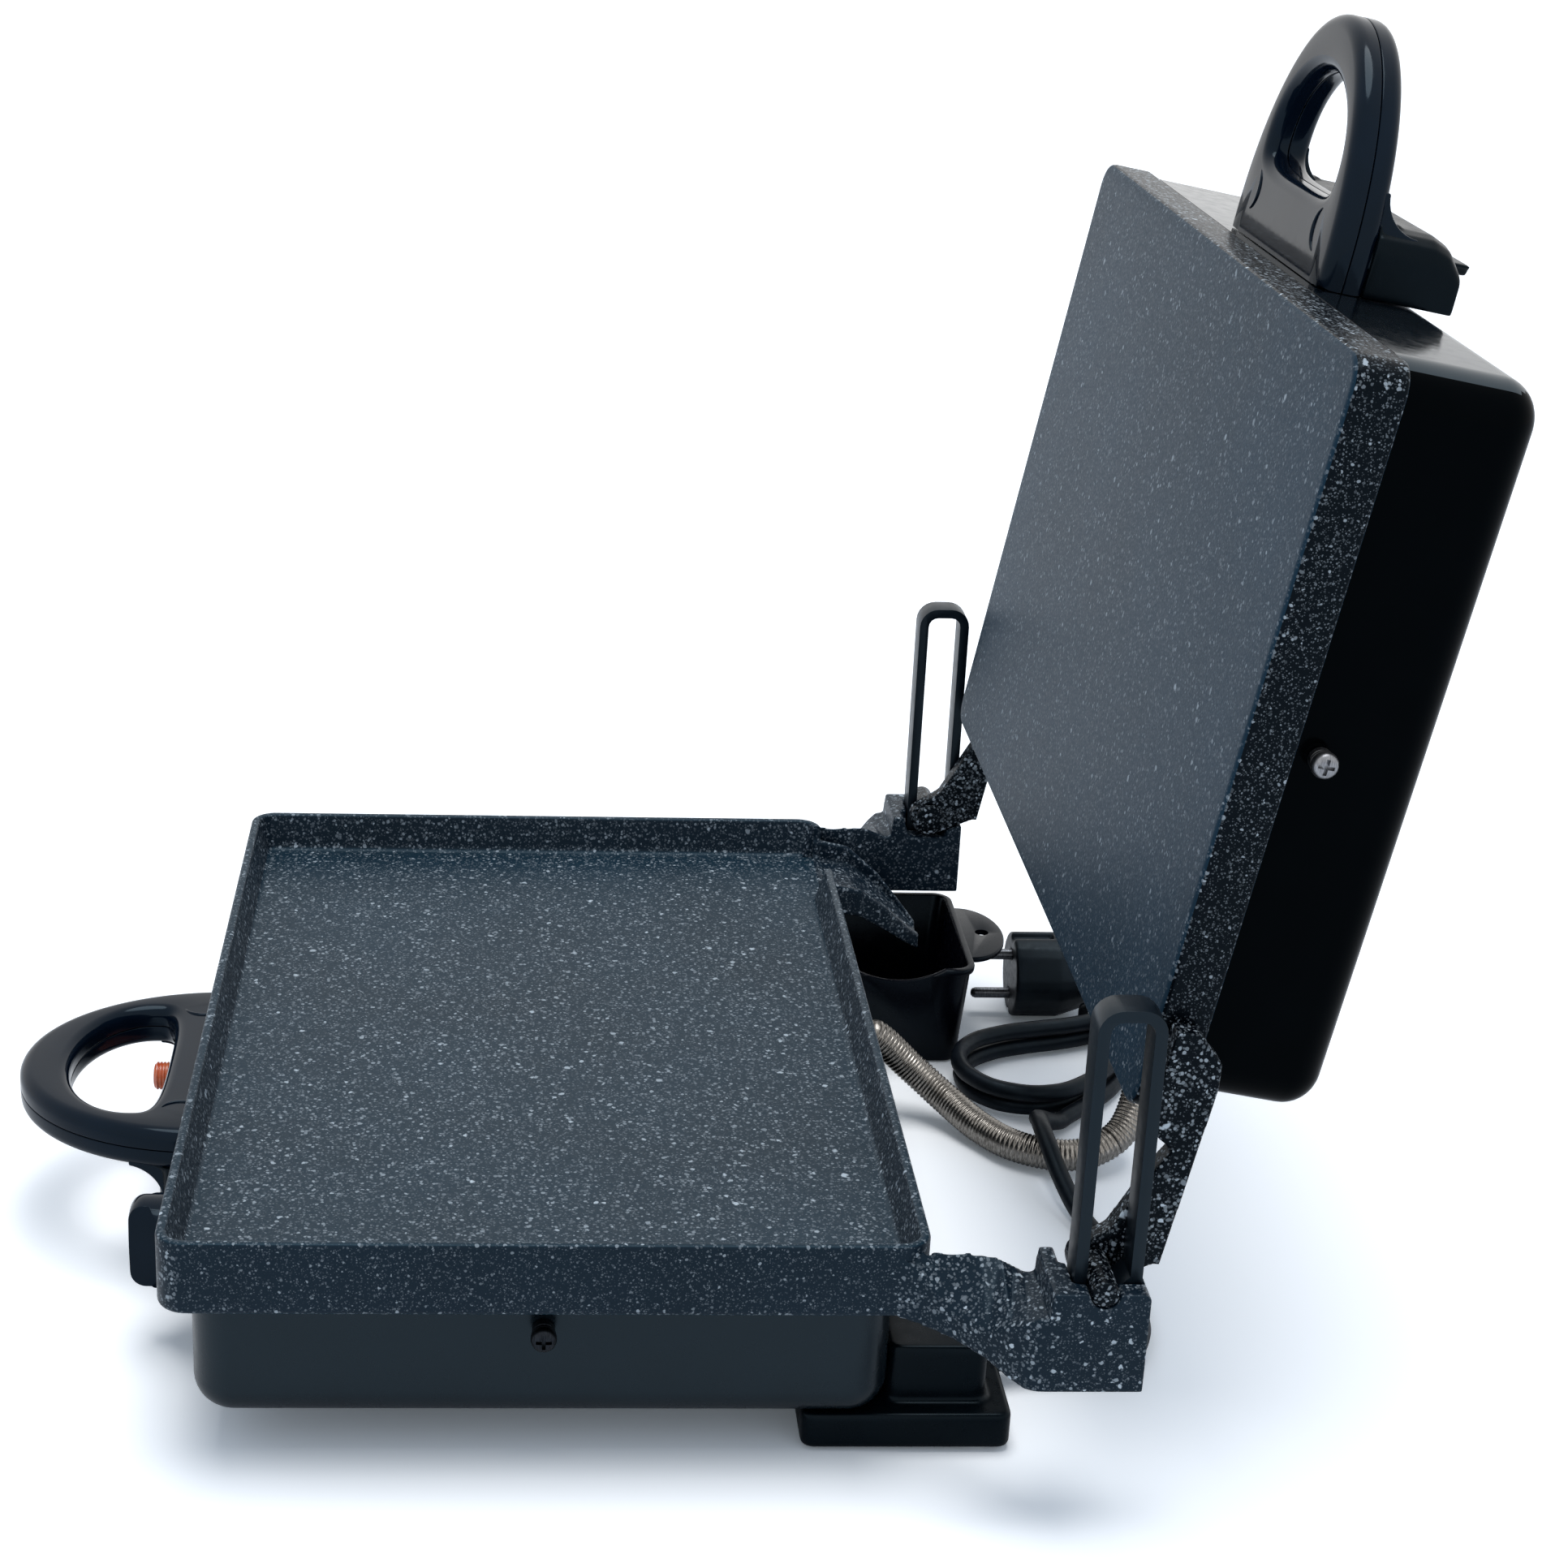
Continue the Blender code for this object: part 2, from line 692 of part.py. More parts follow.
def make_pan(base):
    """The cast lower plate with its arms, spout and pockets."""
    levels = (
        (PAN_SKIRT + EDGE_ROUND, PAN_UNDERSIDE), (PAN_SKIRT, PAN_BOTTOM), (PAN_FOOT_ROUND, PAN_BOTTOM),
        (0.0, PAN_BOTTOM + PAN_FOOT_ROUND), (0.0, RIM - EDGE_ROUND), (EDGE_ROUND, RIM),
        (PAN_RIM_WIDTH - EDGE_ROUND, RIM), (PAN_RIM_WIDTH, RIM - EDGE_ROUND),
        (PAN_RIM_WIDTH + PAN_WALL_DRAFT, PAN_FLOOR + PAN_TRAY_FILLET),
        (PAN_RIM_WIDTH + PAN_WALL_DRAFT + PAN_TRAY_FILLET, PAN_FLOOR),
    )
    pan = place("pan_lower", loft(inset_rings(PAN_WIDTH, PAN_DEPTH, PAN_CORNER, levels)), granite(), base)
    spout_low = -(PAN_WIDTH / 2 - SPOUT_FROM_SIDE)
    spout = box(
        (spout_low, PAN_DEPTH / 2 - PAN_SKIRT * 3, PAN_FLOOR + FIT_GAP),
        (spout_low + SPOUT_WIDTH, PAN_DEPTH / 2 + OVERRUN, RIM + OVERRUN),
    )
    shape_with(pan, spout, "DIFFERENCE")
    shape_with(pan, chute(), "UNION")
    for side in (1, -1):
        shape_with(pan, arm_block(side), "UNION")
    for side in (1, -1):
        shape_with(pan, ledge_cut(side), "DIFFERENCE")
        shape_with(pan, loop_recess(side), "DIFFERENCE")
        shape_with(pan, pin_pocket(side), "DIFFERENCE")
        shape_with(pan, loop_screw_bore(side), "DIFFERENCE")
    return pan


# Guide loops and hinge pins

def make_loop(base, side, name):
    """An upright guide loop: a flat bar with one long slot; the pin's seat is at the slot's front."""
    top = RIM + LOOP_HEIGHT
    bottom = RIM - LOOP_FOOT_DEPTH + FIT_GAP
    outline = [(LOOP_BACK_Y, bottom)]
    outline += arc_points((LOOP_BACK_Y - LOOP_CORNER, top - LOOP_CORNER), LOOP_CORNER, 0, 90, 6)
    outline += arc_points((LOOP_FRONT_Y + LOOP_CORNER, top - LOOP_CORNER), LOOP_CORNER, 90, 180, 6)
    outline += [(LOOP_FRONT_Y, bottom)]
    low, high = sorted((side * LOOP_INNER_X, side * LOOP_OUTER_X))
    loop = place(name, prism(outline, low, high, "x"), black_enamel(), base)
    inside = top - LOOP_LEG
    corner = LOOP_SLOT_CORNER
    slot_back = LOOP_BACK_Y - LOOP_LEG
    slot_front = LOOP_FRONT_Y + LOOP_LEG
    slot = arc_points((PIN_Y, PIN_Z), SLOT_HALF, 180, 300, 8)
    slot += [(slot_back, PIN_Z + LOOP_SLOT_SPARE / 2)]
    slot += arc_points((slot_back - corner, inside - corner), corner, 0, 90, 4)
    slot += arc_points((slot_front + corner, inside - corner), corner, 90, 180, 4)
    shape_with(loop, prism(slot, low - OVERRUN, high + OVERRUN, "x"), "DIFFERENCE")
    x = (low + high) / 2
    bore = cylinder(
        (x, PIN_Y, bottom - OVERRUN), (x, PIN_Y, bottom + LOOP_SCREW_GRIP + FIT_GAP),
        LOOP_SCREW_DIAMETER / 2 + FIT_GAP,
    )
    shape_with(loop, bore, "DIFFERENCE")
    return loop


def make_loop_screw(base, side, name):
    """Screw that holds a loop from under its arm."""
    under = RIM - ARM_DROP - FIT_GAP
    tip = RIM - LOOP_FOOT_DEPTH + LOOP_SCREW_GRIP - under
    profile = (
        (LOOP_SCREW_HEAD / 2 - EDGE_ROUND, -LOOP_SCREW_HEAD_HEIGHT), (LOOP_SCREW_HEAD / 2, EDGE_ROUND - LOOP_SCREW_HEAD_HEIGHT),
        (LOOP_SCREW_HEAD / 2, 0.0), (LOOP_SCREW_DIAMETER / 2, 0.0), (LOOP_SCREW_DIAMETER / 2, tip),
    )
    x = side * (LOOP_INNER_X + LOOP_OUTER_X) / 2
    return place(name, turned(profile, SMALL_SIDES), zinc(), base, (x, PIN_Y, under))


def make_pin(base, side, name):
    """A hinge pin: its head is inside the lid arm, its end lies in the outer cheek's pocket."""
    head = LID_ARM_INNER_X - FIT_GAP
    start = head - PIN_HEAD_LENGTH
    end = ARM_OUTER_X - FIT_GAP
    profile = (
        (PIN_HEAD_DIAMETER / 2 - EDGE_ROUND, start), (PIN_HEAD_DIAMETER / 2, start + EDGE_ROUND),
        (PIN_HEAD_DIAMETER / 2, head), (PIN_RADIUS, head), (PIN_RADIUS, end - EDGE_ROUND),
        (PIN_RADIUS - EDGE_ROUND, end),
    )
    return place(
        name, turned(profile, ROUND_SIDES), zinc(), base,
        (0.0, PIN_Y, PIN_Z), (0.0, side * math.pi / 2, 0.0),
    )


# Shells

def cover_levels(open_end, closed_end):
    """Rings of a pressed shell, from its inner floor over its free edge to its outer floor."""
    sign = 1 if open_end > closed_end else -1
    levels = []
    inner_fillet = COVER_FILLET - COVER_SHEET
    for step in range(FILLET_STEPS + 1):
        angle = math.pi / 2 * (1 - step / FILLET_STEPS)
        inset = COVER_SHEET + inner_fillet * (1 - math.cos(angle))
        height = closed_end + sign * (COVER_SHEET + inner_fillet * (1 - math.sin(angle)))
        levels.append((inset, height))
    levels.append((COVER_SHEET, open_end))
    levels.append((0.0, open_end))
    for step in range(FILLET_STEPS + 1):
        angle = math.pi / 2 * step / FILLET_STEPS
        inset = COVER_FILLET * (1 - math.cos(angle))
        height = closed_end + sign * COVER_FILLET * (1 - math.sin(angle))
        levels.append((inset, height))
    return levels


def side_hole(side, y, z, half_width, radius):
    """A bar through a shell's side wall."""
    start = (side * (half_width - COVER_SHEET - OVERRUN), y, z)
    end = (side * (half_width + OVERRUN), y, z)
    return cylinder(start, end, radius)


def make_lower_cover(base):
    """The pressed shell under the pan, with its holes."""
    levels = cover_levels(PAN_UNDERSIDE - FIT_GAP, COVER_BOTTOM)
    rings = inset_rings(2 * COVER_HALF_WIDTH, 2 * COVER_HALF_DEPTH, COVER_CORNER, levels)
    cover = place("lower_cover", loft(rings), black_enamel(), base)
    for side in (1, -1):
        hole = side_hole(side, 0.0, RIM - SIDE_SCREW_DROP, COVER_HALF_WIDTH, SCREW_DIAMETER / 2 + FIT_GAP)
        shape_with(cover, hole, "DIFFERENCE")
    front = -COVER_HALF_DEPTH
    shape_with(cover, cylinder(
        (KNOB_X, front - OVERRUN, RIM - KNOB_DROP), (KNOB_X, front + COVER_SHEET + OVERRUN, RIM - KNOB_DROP),
        BUSH_DIAMETER / 2 + FIT_GAP, ROUND_SIDES), "DIFFERENCE")
    shape_with(cover, cylinder(
        (GLAND_X_BASE, -front - COVER_SHEET - OVERRUN, GLAND_Z_BASE), (GLAND_X_BASE, OVERRUN - front, GLAND_Z_BASE),
        GLAND_NECK / 2 + FIT_GAP, ROUND_SIDES), "DIFFERENCE")
    return cover


def make_lid_cover(lid):
    """The pressed shell over the lid, in the lid's own frame."""
    levels = cover_levels(-(LID_WALL + FIT_GAP), -LID_BACK)
    middle = (0.0, LID_COVER_START + LID_COVER_LENGTH / 2)
    rings = inset_rings(2 * COVER_HALF_WIDTH, LID_COVER_LENGTH, COVER_CORNER, levels, middle)
    cover = place("lid_cover", loft(rings), black_enamel(), lid, lid_seat())
    for side in (1, -1):
        hole = side_hole(side, LID_SCREW_U, -lid_screw_w(), COVER_HALF_WIDTH, SCREW_DIAMETER / 2 + FIT_GAP)
        shape_with(cover, hole, "DIFFERENCE")
    end = LID_COVER_START
    shape_with(cover, cylinder(
        (GLAND_X_LID, end - OVERRUN, -GLAND_W_LID), (GLAND_X_LID, end + COVER_SHEET + OVERRUN, -GLAND_W_LID),
        GLAND_NECK / 2 + FIT_GAP, ROUND_SIDES), "DIFFERENCE")
    return cover


def lid_seat():
    """Where the lid's own pieces sit under its hinge frame: u = 0, w = 0."""
    return (0.0, LID_SETBACK, LID_PIN_W)


def lid_cover_front():
    """The lid shell's handle end, as u."""
    return LID_COVER_START + LID_COVER_LENGTH


def lid_screw_w():
    return LID_WALL + SIDE_SCREW_DROP - PAN_WALL_HEIGHT


# Lid plate

def lid_arm(side):
    """One arm of the lid: shoulder on the plate, straight back edge, heel, and the hub round the pin."""
    turn = hub_tangent()
    outline = [
        (-LID_ARM_HEEL, -LID_ARM_BACK), (-LID_ARM_HEEL, LID_ARM_ROOT / 2 - LID_ARM_BACK),
    ]
    hub_steps = 10
    end_turn = math.radians(290)
    for step in range(hub_steps + 1):
        angle = turn + (end_turn - turn) * step / hub_steps
        u = LID_ARM_HUB * math.cos(angle) - LID_SETBACK
        outline.append((u, -(LID_PIN_W + LID_ARM_HUB * math.sin(angle))))
    # Each row: u as a share of the heel's length, w as a share of the arm's back.
    front_shares = ((-0.80, 0.10), (-0.28, 0.50), (-0.13, 0.66), (0.0, 0.19))
    outline += [(LID_ARM_HEEL * u, -LID_ARM_BACK * w) for u, w in front_shares]
    # Each row: u as a share of the shoulder's length, w as a share of the arm's back.
    shoulder_shares = ((1.0, 0.19), (1.0, 0.56), (0.75, 1.0), (0.51, 1.06))
    outline += [(LID_ARM_SHOULDER * u, -LID_ARM_BACK * w) for u, w in shoulder_shares]
    low, high = sorted((side * LID_ARM_INNER_X, side * LID_ARM_OUTER_X))
    return prism(outline, low, high, "x")


def lid_arm_root(side):
    """The web that ties an arm's shoulder to the plate's side wall."""
    low, high = sorted((side * (PAN_WIDTH / 2 - LID_ARM_ROOT), side * (LID_ARM_INNER_X + LID_ARM_ROOT)))
    return box(
        (low, LID_ARM_ROOT, 2 * EDGE_ROUND - LID_WALL),
        (high, LID_ARM_SHOULDER * 0.72, -(LID_ARM_ROOT + EDGE_ROUND)),
    )


def make_lid_plate(lid):
    """The cast upper plate with its two arms."""
    levels = (
        (PAN_SKIRT, -LID_PLATE), (PAN_SKIRT - EDGE_ROUND, -LID_WALL), (EDGE_ROUND, -LID_WALL),
        (0.0, EDGE_ROUND - LID_WALL), (0.0, -LID_FACE_ROUND),
        (LID_FACE_ROUND * (1 - math.sqrt(0.5)), -LID_FACE_ROUND * (1 - math.sqrt(0.5))), (LID_FACE_ROUND, 0.0),
    )
    rings = inset_rings(PAN_WIDTH, LID_LENGTH, LID_CORNER, levels, (0.0, LID_LENGTH / 2))
    plate = place("lid_plate", loft(rings), granite(), lid, lid_seat())
    for side in (1, -1):
        shape_with(plate, lid_arm_root(side), "UNION")
        shape_with(plate, lid_arm(side), "UNION")
        start = (side * (LID_ARM_INNER_X - OVERRUN), -LID_SETBACK, -LID_PIN_W)
        end = (side * (LID_ARM_OUTER_X + OVERRUN), -LID_SETBACK, -LID_PIN_W)
        shape_with(plate, cylinder(start, end, SLOT_HALF, ROUND_SIDES), "DIFFERENCE")
    return plate


# Handles, each in a frame with +Y out from the shell and +Z to the face side

def handle_ring(length, inset, height):
    """Outline of the handle: a short stem and a half ellipse."""
    half = HANDLE_HALF_WIDTH - inset
    reach = length - HANDLE_STEM - inset
    points = [(-half, 0.0, height), (half, 0.0, height)]
    for step in range(HANDLE_STEPS + 1):
        angle = math.pi * step / HANDLE_STEPS
        points.append((half * math.cos(angle), HANDLE_STEM + reach * math.sin(angle), height))
    return points


def handle_hole(length, low, high):
    """The finger hole: half an ellipse outside, a bowed base with round corners inside."""
    outer = length - HANDLE_RIM - HANDLE_HOLE_MIDDLE
    inner = HANDLE_HOLE_MIDDLE - HANDLE_HOLE_START
    outline = []
    for step in range(HANDLE_STEPS):
        angle = 2 * math.pi * step / HANDLE_STEPS
        sine = math.sin(angle)
        cosine = math.cos(angle)
        if sine >= 0:
            outline.append((HANDLE_HOLE_HALF_WIDTH * cosine, HANDLE_HOLE_MIDDLE + outer * sine))
        else:
            square = math.copysign(abs(cosine) ** 0.6, cosine)
            outline.append((HANDLE_HOLE_HALF_WIDTH * square, HANDLE_HOLE_MIDDLE - inner * abs(sine) ** 0.6))
    return prism(outline, low, high)


def make_handle_top(frame, length, name):
    """The half shell on the face side."""
    half = HANDLE_THICKNESS / 2
    gap = FIT_GAP / 2
    rings = [
        handle_ring(length, EDGE_ROUND / 2, gap), handle_ring(length, 0.0, gap + EDGE_ROUND),
        handle_ring(length, 0.0, half - HANDLE_EDGE),
        handle_ring(length, HANDLE_EDGE * (1 - math.sqrt(0.5)), half - HANDLE_EDGE * (1 - math.sqrt(0.5))),
        handle_ring(length, HANDLE_EDGE, half),
    ]
    shell = place(name, loft(rings), black_plastic(), frame)
    shape_with(shell, handle_hole(length, -OVERRUN, half + OVERRUN), "DIFFERENCE")
    for side in (1, -1):
        bore = cylinder(
            (side * HANDLE_SCREW_SPREAD, BLOCK_REACH / 2, -OVERRUN),
            (side * HANDLE_SCREW_SPREAD, BLOCK_REACH / 2, half - HANDLE_EDGE),
            HANDLE_SCREW_DIAMETER / 2 + FIT_GAP,
        )
        shape_with(shell, bore, "DIFFERENCE")
    return shell


def handle_block():
    """Base block under the handle; its ends are drawn in to round its corners."""
    top = EDGE_ROUND * 2 - HANDLE_THICKNESS / 2
    # Each row: reach and depth as shares of the block's own.
    profile_shares = (
        (0.0, 0.0), (1.0, 0.0), (1.0, 0.26), (1.0, 0.64), (0.89, 0.83), (0.60, 0.99), (0.0, 1.0),
    )
    # Each row: place across as a share of the half width, reach drawn in to this share.
    end_shares = ((1.0, 0.68), (0.985, 0.84), (0.93, 0.95), (0.84, 1.0))
    stations = [(-place_share, reach_share) for place_share, reach_share in end_shares]
    stations += list(reversed(end_shares))
    rings = []
    for across, drawn in stations:
        rings.append([
            (BLOCK_HALF_WIDTH * across, BLOCK_REACH * reach * drawn, top - BLOCK_DEPTH * depth)
            for reach, depth in profile_shares
        ])
    return loft(rings)


def handle_wedge(side):
    """Fillet between the handle's side and the block's end."""
    top = EDGE_ROUND * 2 - HANDLE_THICKNESS / 2
    outline = [
        (BLOCK_REACH - BLOCK_LIP_THICKNESS, top), (HANDLE_HOLE_MIDDLE + BLOCK_LIP_HEIGHT, top),
        (HANDLE_HOLE_MIDDLE - BLOCK_LIP_THICKNESS, top - BLOCK_LIP_THICKNESS),
        (BLOCK_REACH - BLOCK_LIP_THICKNESS, top - BLOCK_LIP_HEIGHT * 2),
    ]
    outer = BLOCK_HALF_WIDTH * 0.86
    low, high = sorted((side * outer, side * (outer - BLOCK_WEDGE_WIDTH / 2)))
    return prism(outline, low, high, "x")


def make_handle_bottom(frame, length, name):
    """The other half shell with the base block and its lip."""
    half = HANDLE_THICKNESS / 2
    gap = FIT_GAP / 2
    rings = [
        handle_ring(length, EDGE_ROUND / 2, -gap), handle_ring(length, 0.0, -(gap + EDGE_ROUND)),
        handle_ring(length, 0.0, HANDLE_EDGE - half),
        handle_ring(length, HANDLE_EDGE * (1 - math.sqrt(0.5)), HANDLE_EDGE * (1 - math.sqrt(0.5)) - half),
        handle_ring(length, HANDLE_EDGE, -half),
    ]
    shell = place(name, loft(rings), black_plastic(), frame)
    shape_with(shell, handle_hole(length, -half - OVERRUN, OVERRUN), "DIFFERENCE")
    shape_with(shell, handle_block(), "UNION")
    for side in (1, -1):
        shape_with(shell, handle_wedge(side), "UNION")
    floor = EDGE_ROUND * 2 - half - BLOCK_DEPTH
    lip_start = BLOCK_REACH * 0.5
    lip = box(
        (-BLOCK_LIP_WIDTH / 2, lip_start, floor - BLOCK_LIP_HEIGHT),
        (BLOCK_LIP_WIDTH / 2, lip_start + BLOCK_LIP_THICKNESS, floor + BLOCK_LIP_THICKNESS),
    )
    shape_with(shell, lip, "UNION")
    for side in (1, -1):
        x = side * HANDLE_SCREW_SPREAD
        bore = cylinder(
            (x, BLOCK_REACH / 2, floor - BLOCK_LIP_HEIGHT - OVERRUN), (x, BLOCK_REACH / 2, OVERRUN),
            HANDLE_SCREW_DIAMETER / 2 + FIT_GAP,
        )
        shape_with(shell, bore, "DIFFERENCE")
        pocket = cylinder(
            (x, BLOCK_REACH / 2, floor - BLOCK_LIP_HEIGHT - OVERRUN), (x, BLOCK_REACH / 2, -half * 2),
            HANDLE_SCREW_HEAD / 2 + FIT_GAP,
        )
        shape_with(shell, pocket, "DIFFERENCE")
    return shell


def make_handle_screw(frame, side, name):
    """Screw that pulls the two half shells together from inside the block."""
    half = HANDLE_THICKNESS / 2
    seat = -half * 2 - FIT_GAP
    tip = half - HANDLE_EDGE - FIT_GAP
    profile = (
        (HANDLE_SCREW_HEAD / 2 - EDGE_ROUND, seat - LOOP_SCREW_HEAD_HEIGHT),
        (HANDLE_SCREW_HEAD / 2, seat - LOOP_SCREW_HEAD_HEIGHT + EDGE_ROUND), (HANDLE_SCREW_HEAD / 2, seat),
        (HANDLE_SCREW_DIAMETER / 2, seat), (HANDLE_SCREW_DIAMETER / 2, tip),
    )
    return place(name, turned(profile, SMALL_SIDES), zinc(), frame, (side * HANDLE_SCREW_SPREAD, BLOCK_REACH / 2, 0.0))


def make_handle(frame, length, prefix, names):
    """Both half shells and their screws."""
    make_handle_top(frame, length, names[0])
    shell = make_handle_bottom(frame, length, names[1])
    for side, word in ((1, "one"), (-1, "two")):
        make_handle_screw(frame, side, prefix + "_handle_screw_" + word)
    return shell


# Knob, thermostat and pilot lamp, turned about an axis that points to the front

def make_knob(base):
    """The knob: a round skirt with a bar grip, and a blind bore for the shaft."""
    front = KNOB_STANDOFF + KNOB_LENGTH
    profile = (
        (KNOB_DIAMETER / 2 - EDGE_ROUND, KNOB_STANDOFF), (KNOB_DIAMETER / 2, KNOB_STANDOFF + EDGE_ROUND),
        (KNOB_DIAMETER / 2, KNOB_STANDOFF + KNOB_SKIRT), (KNOB_GRIP_DIAMETER / 2 + EDGE_ROUND, KNOB_STANDOFF + KNOB_SKIRT),
        (KNOB_GRIP_DIAMETER / 2, front - 2 * EDGE_ROUND), (KNOB_GRIP_DIAMETER / 2 - 2 * EDGE_ROUND, front),
    )
    at = (KNOB_X, -COVER_HALF_DEPTH, RIM - KNOB_DROP)
    knob = place("thermostat_knob", turned(profile), black_plastic(), base, at, (math.pi / 2, 0.0, 0.0))
    for side in (1, -1):
        low, high = sorted((side * KNOB_GRIP_WIDTH / 2, side * KNOB_DIAMETER))
        scoop = box(
            (low, -KNOB_DIAMETER, KNOB_STANDOFF + KNOB_SKIRT * 2), (high, KNOB_DIAMETER, front + OVERRUN),
        )
        shape_with(knob, scoop, "DIFFERENCE")
    bore = cylinder(
        (0.0, 0.0, KNOB_STANDOFF - OVERRUN), (0.0, 0.0, KNOB_STANDOFF + SHAFT_IN_KNOB + FIT_GAP),
        SHAFT_DIAMETER / 2 + FIT_GAP,
    )
    shape_with(knob, bore, "DIFFERENCE")
    return knob


def make_thermostat(base):
    """The thermostat: body inside the shell, threaded bush through it, nut outside and turning shaft."""
    at = (KNOB_X, -COVER_HALF_DEPTH, RIM - KNOB_DROP)
    turn = (math.pi / 2, 0.0, 0.0)
    inner = -(COVER_SHEET + FIT_GAP)
    bush_end = KNOB_STANDOFF - 2 * FIT_GAP
    bore = SHAFT_DIAMETER / 2 + FIT_GAP
    back = inner - THERMOSTAT_LENGTH
    body = (
        (bore, back), (THERMOSTAT_DIAMETER / 2 - EDGE_ROUND, back), (THERMOSTAT_DIAMETER / 2, back + EDGE_ROUND),
        (THERMOSTAT_DIAMETER / 2, inner - THERMOSTAT_SHOULDER), (BUSH_DIAMETER * 0.8, inner - THERMOSTAT_SHOULDER),
        (BUSH_DIAMETER * 0.8, inner), (BUSH_DIAMETER / 2, inner), (BUSH_DIAMETER / 2, bush_end), (bore, bush_end),
    )
    place("thermostat_body", turned(body, ROUND_SIDES, True), ceramic(), base, at, turn)
    shaft = (
        (SHAFT_DIAMETER / 2, back + OVERRUN), (SHAFT_DIAMETER / 2, KNOB_STANDOFF + SHAFT_IN_KNOB - EDGE_ROUND),
        (SHAFT_DIAMETER / 2 - EDGE_ROUND, KNOB_STANDOFF + SHAFT_IN_KNOB),
    )
    place("thermostat_shaft", turned(shaft, SMALL_SIDES), steel(), base, at, turn)
    nut = (
        (nut_bore(BUSH_DIAMETER / 2), FIT_GAP), (BUSH_DIAMETER * 0.8, FIT_GAP),
        (BUSH_DIAMETER * 0.8, bush_end), (nut_bore(BUSH_DIAMETER / 2), bush_end),
    )
    place("thermostat_nut", turned(nut, 6, True), zinc(), base, at, turn)


def make_pilot(frame):
    """The ribbed amber lens in the block's front, and the lamp body behind it."""
    start = BLOCK_REACH - PILOT_LENS_LENGTH + PILOT_LENS_PROUD
    front = BLOCK_REACH + PILOT_LENS_PROUD
    radius = PILOT_DIAMETER / 2
    profile = [(radius, start), (radius, BLOCK_REACH + FIT_GAP)]
    span = (front - BLOCK_REACH - 2 * EDGE_ROUND) / PILOT_RIBS
    for rib in range(PILOT_RIBS):
        base = BLOCK_REACH + 2 * FIT_GAP + rib * span
        profile.append((radius - EDGE_ROUND / 2, base + span * 0.2))
        profile.append((radius, base + span * 0.6))
    profile.append((radius - 2 * EDGE_ROUND, front))
    at = (PILOT_X, 0.0, -PILOT_DROP)
    turn = (-math.pi / 2, 0.0, 0.0)
    place("pilot_lens", turned(profile, SMALL_SIDES), amber(), frame, at, turn)
    body = (
        (radius, FIT_GAP), (radius, start - FIT_GAP - EDGE_ROUND), (radius - EDGE_ROUND, start - FIT_GAP),
    )
    place("pilot_lamp_body", turned(body, SMALL_SIDES), ceramic(), frame, at, turn)


def pilot_bore():
    """Bore for the lamp through the block."""
    return cylinder(
        (PILOT_X, -OVERRUN, -PILOT_DROP), (PILOT_X, BLOCK_REACH + OVERRUN, -PILOT_DROP),
        PILOT_DIAMETER / 2 + FIT_GAP, ROUND_SIDES,
    )


# Feet and rear block

def make_front_feet(base):
    """Two round rubber feet under the front of the shell."""
    top = COVER_BOTTOM - FIT_GAP
    profile = (
        (FOOT_DIAMETER / 2 - EDGE_ROUND * 2, 0.0), (FOOT_DIAMETER / 2, EDGE_ROUND * 2),
        (FOOT_DIAMETER / 2 + EDGE_ROUND, top),
    )
    for side, name in ((1, "front_foot_near"), (-1, "front_foot_far")):
        place(name, turned(profile), rubber(), base, (side * FRONT_FOOT_X, -FRONT_FOOT_Y, 0.0))


def make_rear_block(base):
    """Moulded foot and wire housing under the back edge, stepped up behind the shell."""
    bottom = REAR_BLOCK_FLOOR_GAP
    low_top = COVER_BOTTOM - FIT_GAP
    width = BLOCK_NEAR_X - REAR_BLOCK_INNER_X
    middle_x = (BLOCK_NEAR_X + REAR_BLOCK_INNER_X) / 2
    depth = REAR_BLOCK_BACK - REAR_BLOCK_FRONT
    middle_y = (REAR_BLOCK_BACK + REAR_BLOCK_FRONT) / 2
    levels = ((EDGE_ROUND, bottom), (0.0, bottom + EDGE_ROUND), (0.0, low_top - EDGE_ROUND), (EDGE_ROUND, low_top))
    rings = inset_rings(width, depth, REAR_BLOCK_CORNER, levels, (middle_x, middle_y))
    block = place("rear_block", loft(rings), black_plastic(), base)
    step_front = COVER_HALF_DEPTH + FIT_GAP
    step_depth = REAR_BLOCK_STEP_BACK - step_front
    step_levels = ((0.0, low_top - OVERRUN), (0.0, REAR_BLOCK_TOP - EDGE_ROUND), (EDGE_ROUND, REAR_BLOCK_TOP))
    step = inset_rings(
        width - 2 * REAR_BLOCK_CORNER, step_depth, REAR_BLOCK_CORNER, step_levels,
        (middle_x - REAR_BLOCK_CORNER, step_front + step_depth / 2),
    )
    shape_with(block, loft(step), "UNION")
    wall = REAR_BLOCK_WALL
    hollow = inset_rings(
        width - 2 * REAR_BLOCK_CORNER - 2 * wall, step_depth - 2 * wall, REAR_BLOCK_CORNER,
        ((0.0, bottom - OVERRUN), (0.0, REAR_BLOCK_TOP - wall)),
        (middle_x - REAR_BLOCK_CORNER, step_front + step_depth / 2),
    )
    shape_with(block, loft(hollow), "DIFFERENCE")
    cord_hole = cylinder(
        (RELIEF_X, REAR_BLOCK_STEP_BACK - wall - OVERRUN, RELIEF_Z), (RELIEF_X, REAR_BLOCK_BACK + OVERRUN, RELIEF_Z),
        CORD_RADIUS + 2 * FIT_GAP,
    )
    shape_with(block, cord_hole, "DIFFERENCE")
    return block


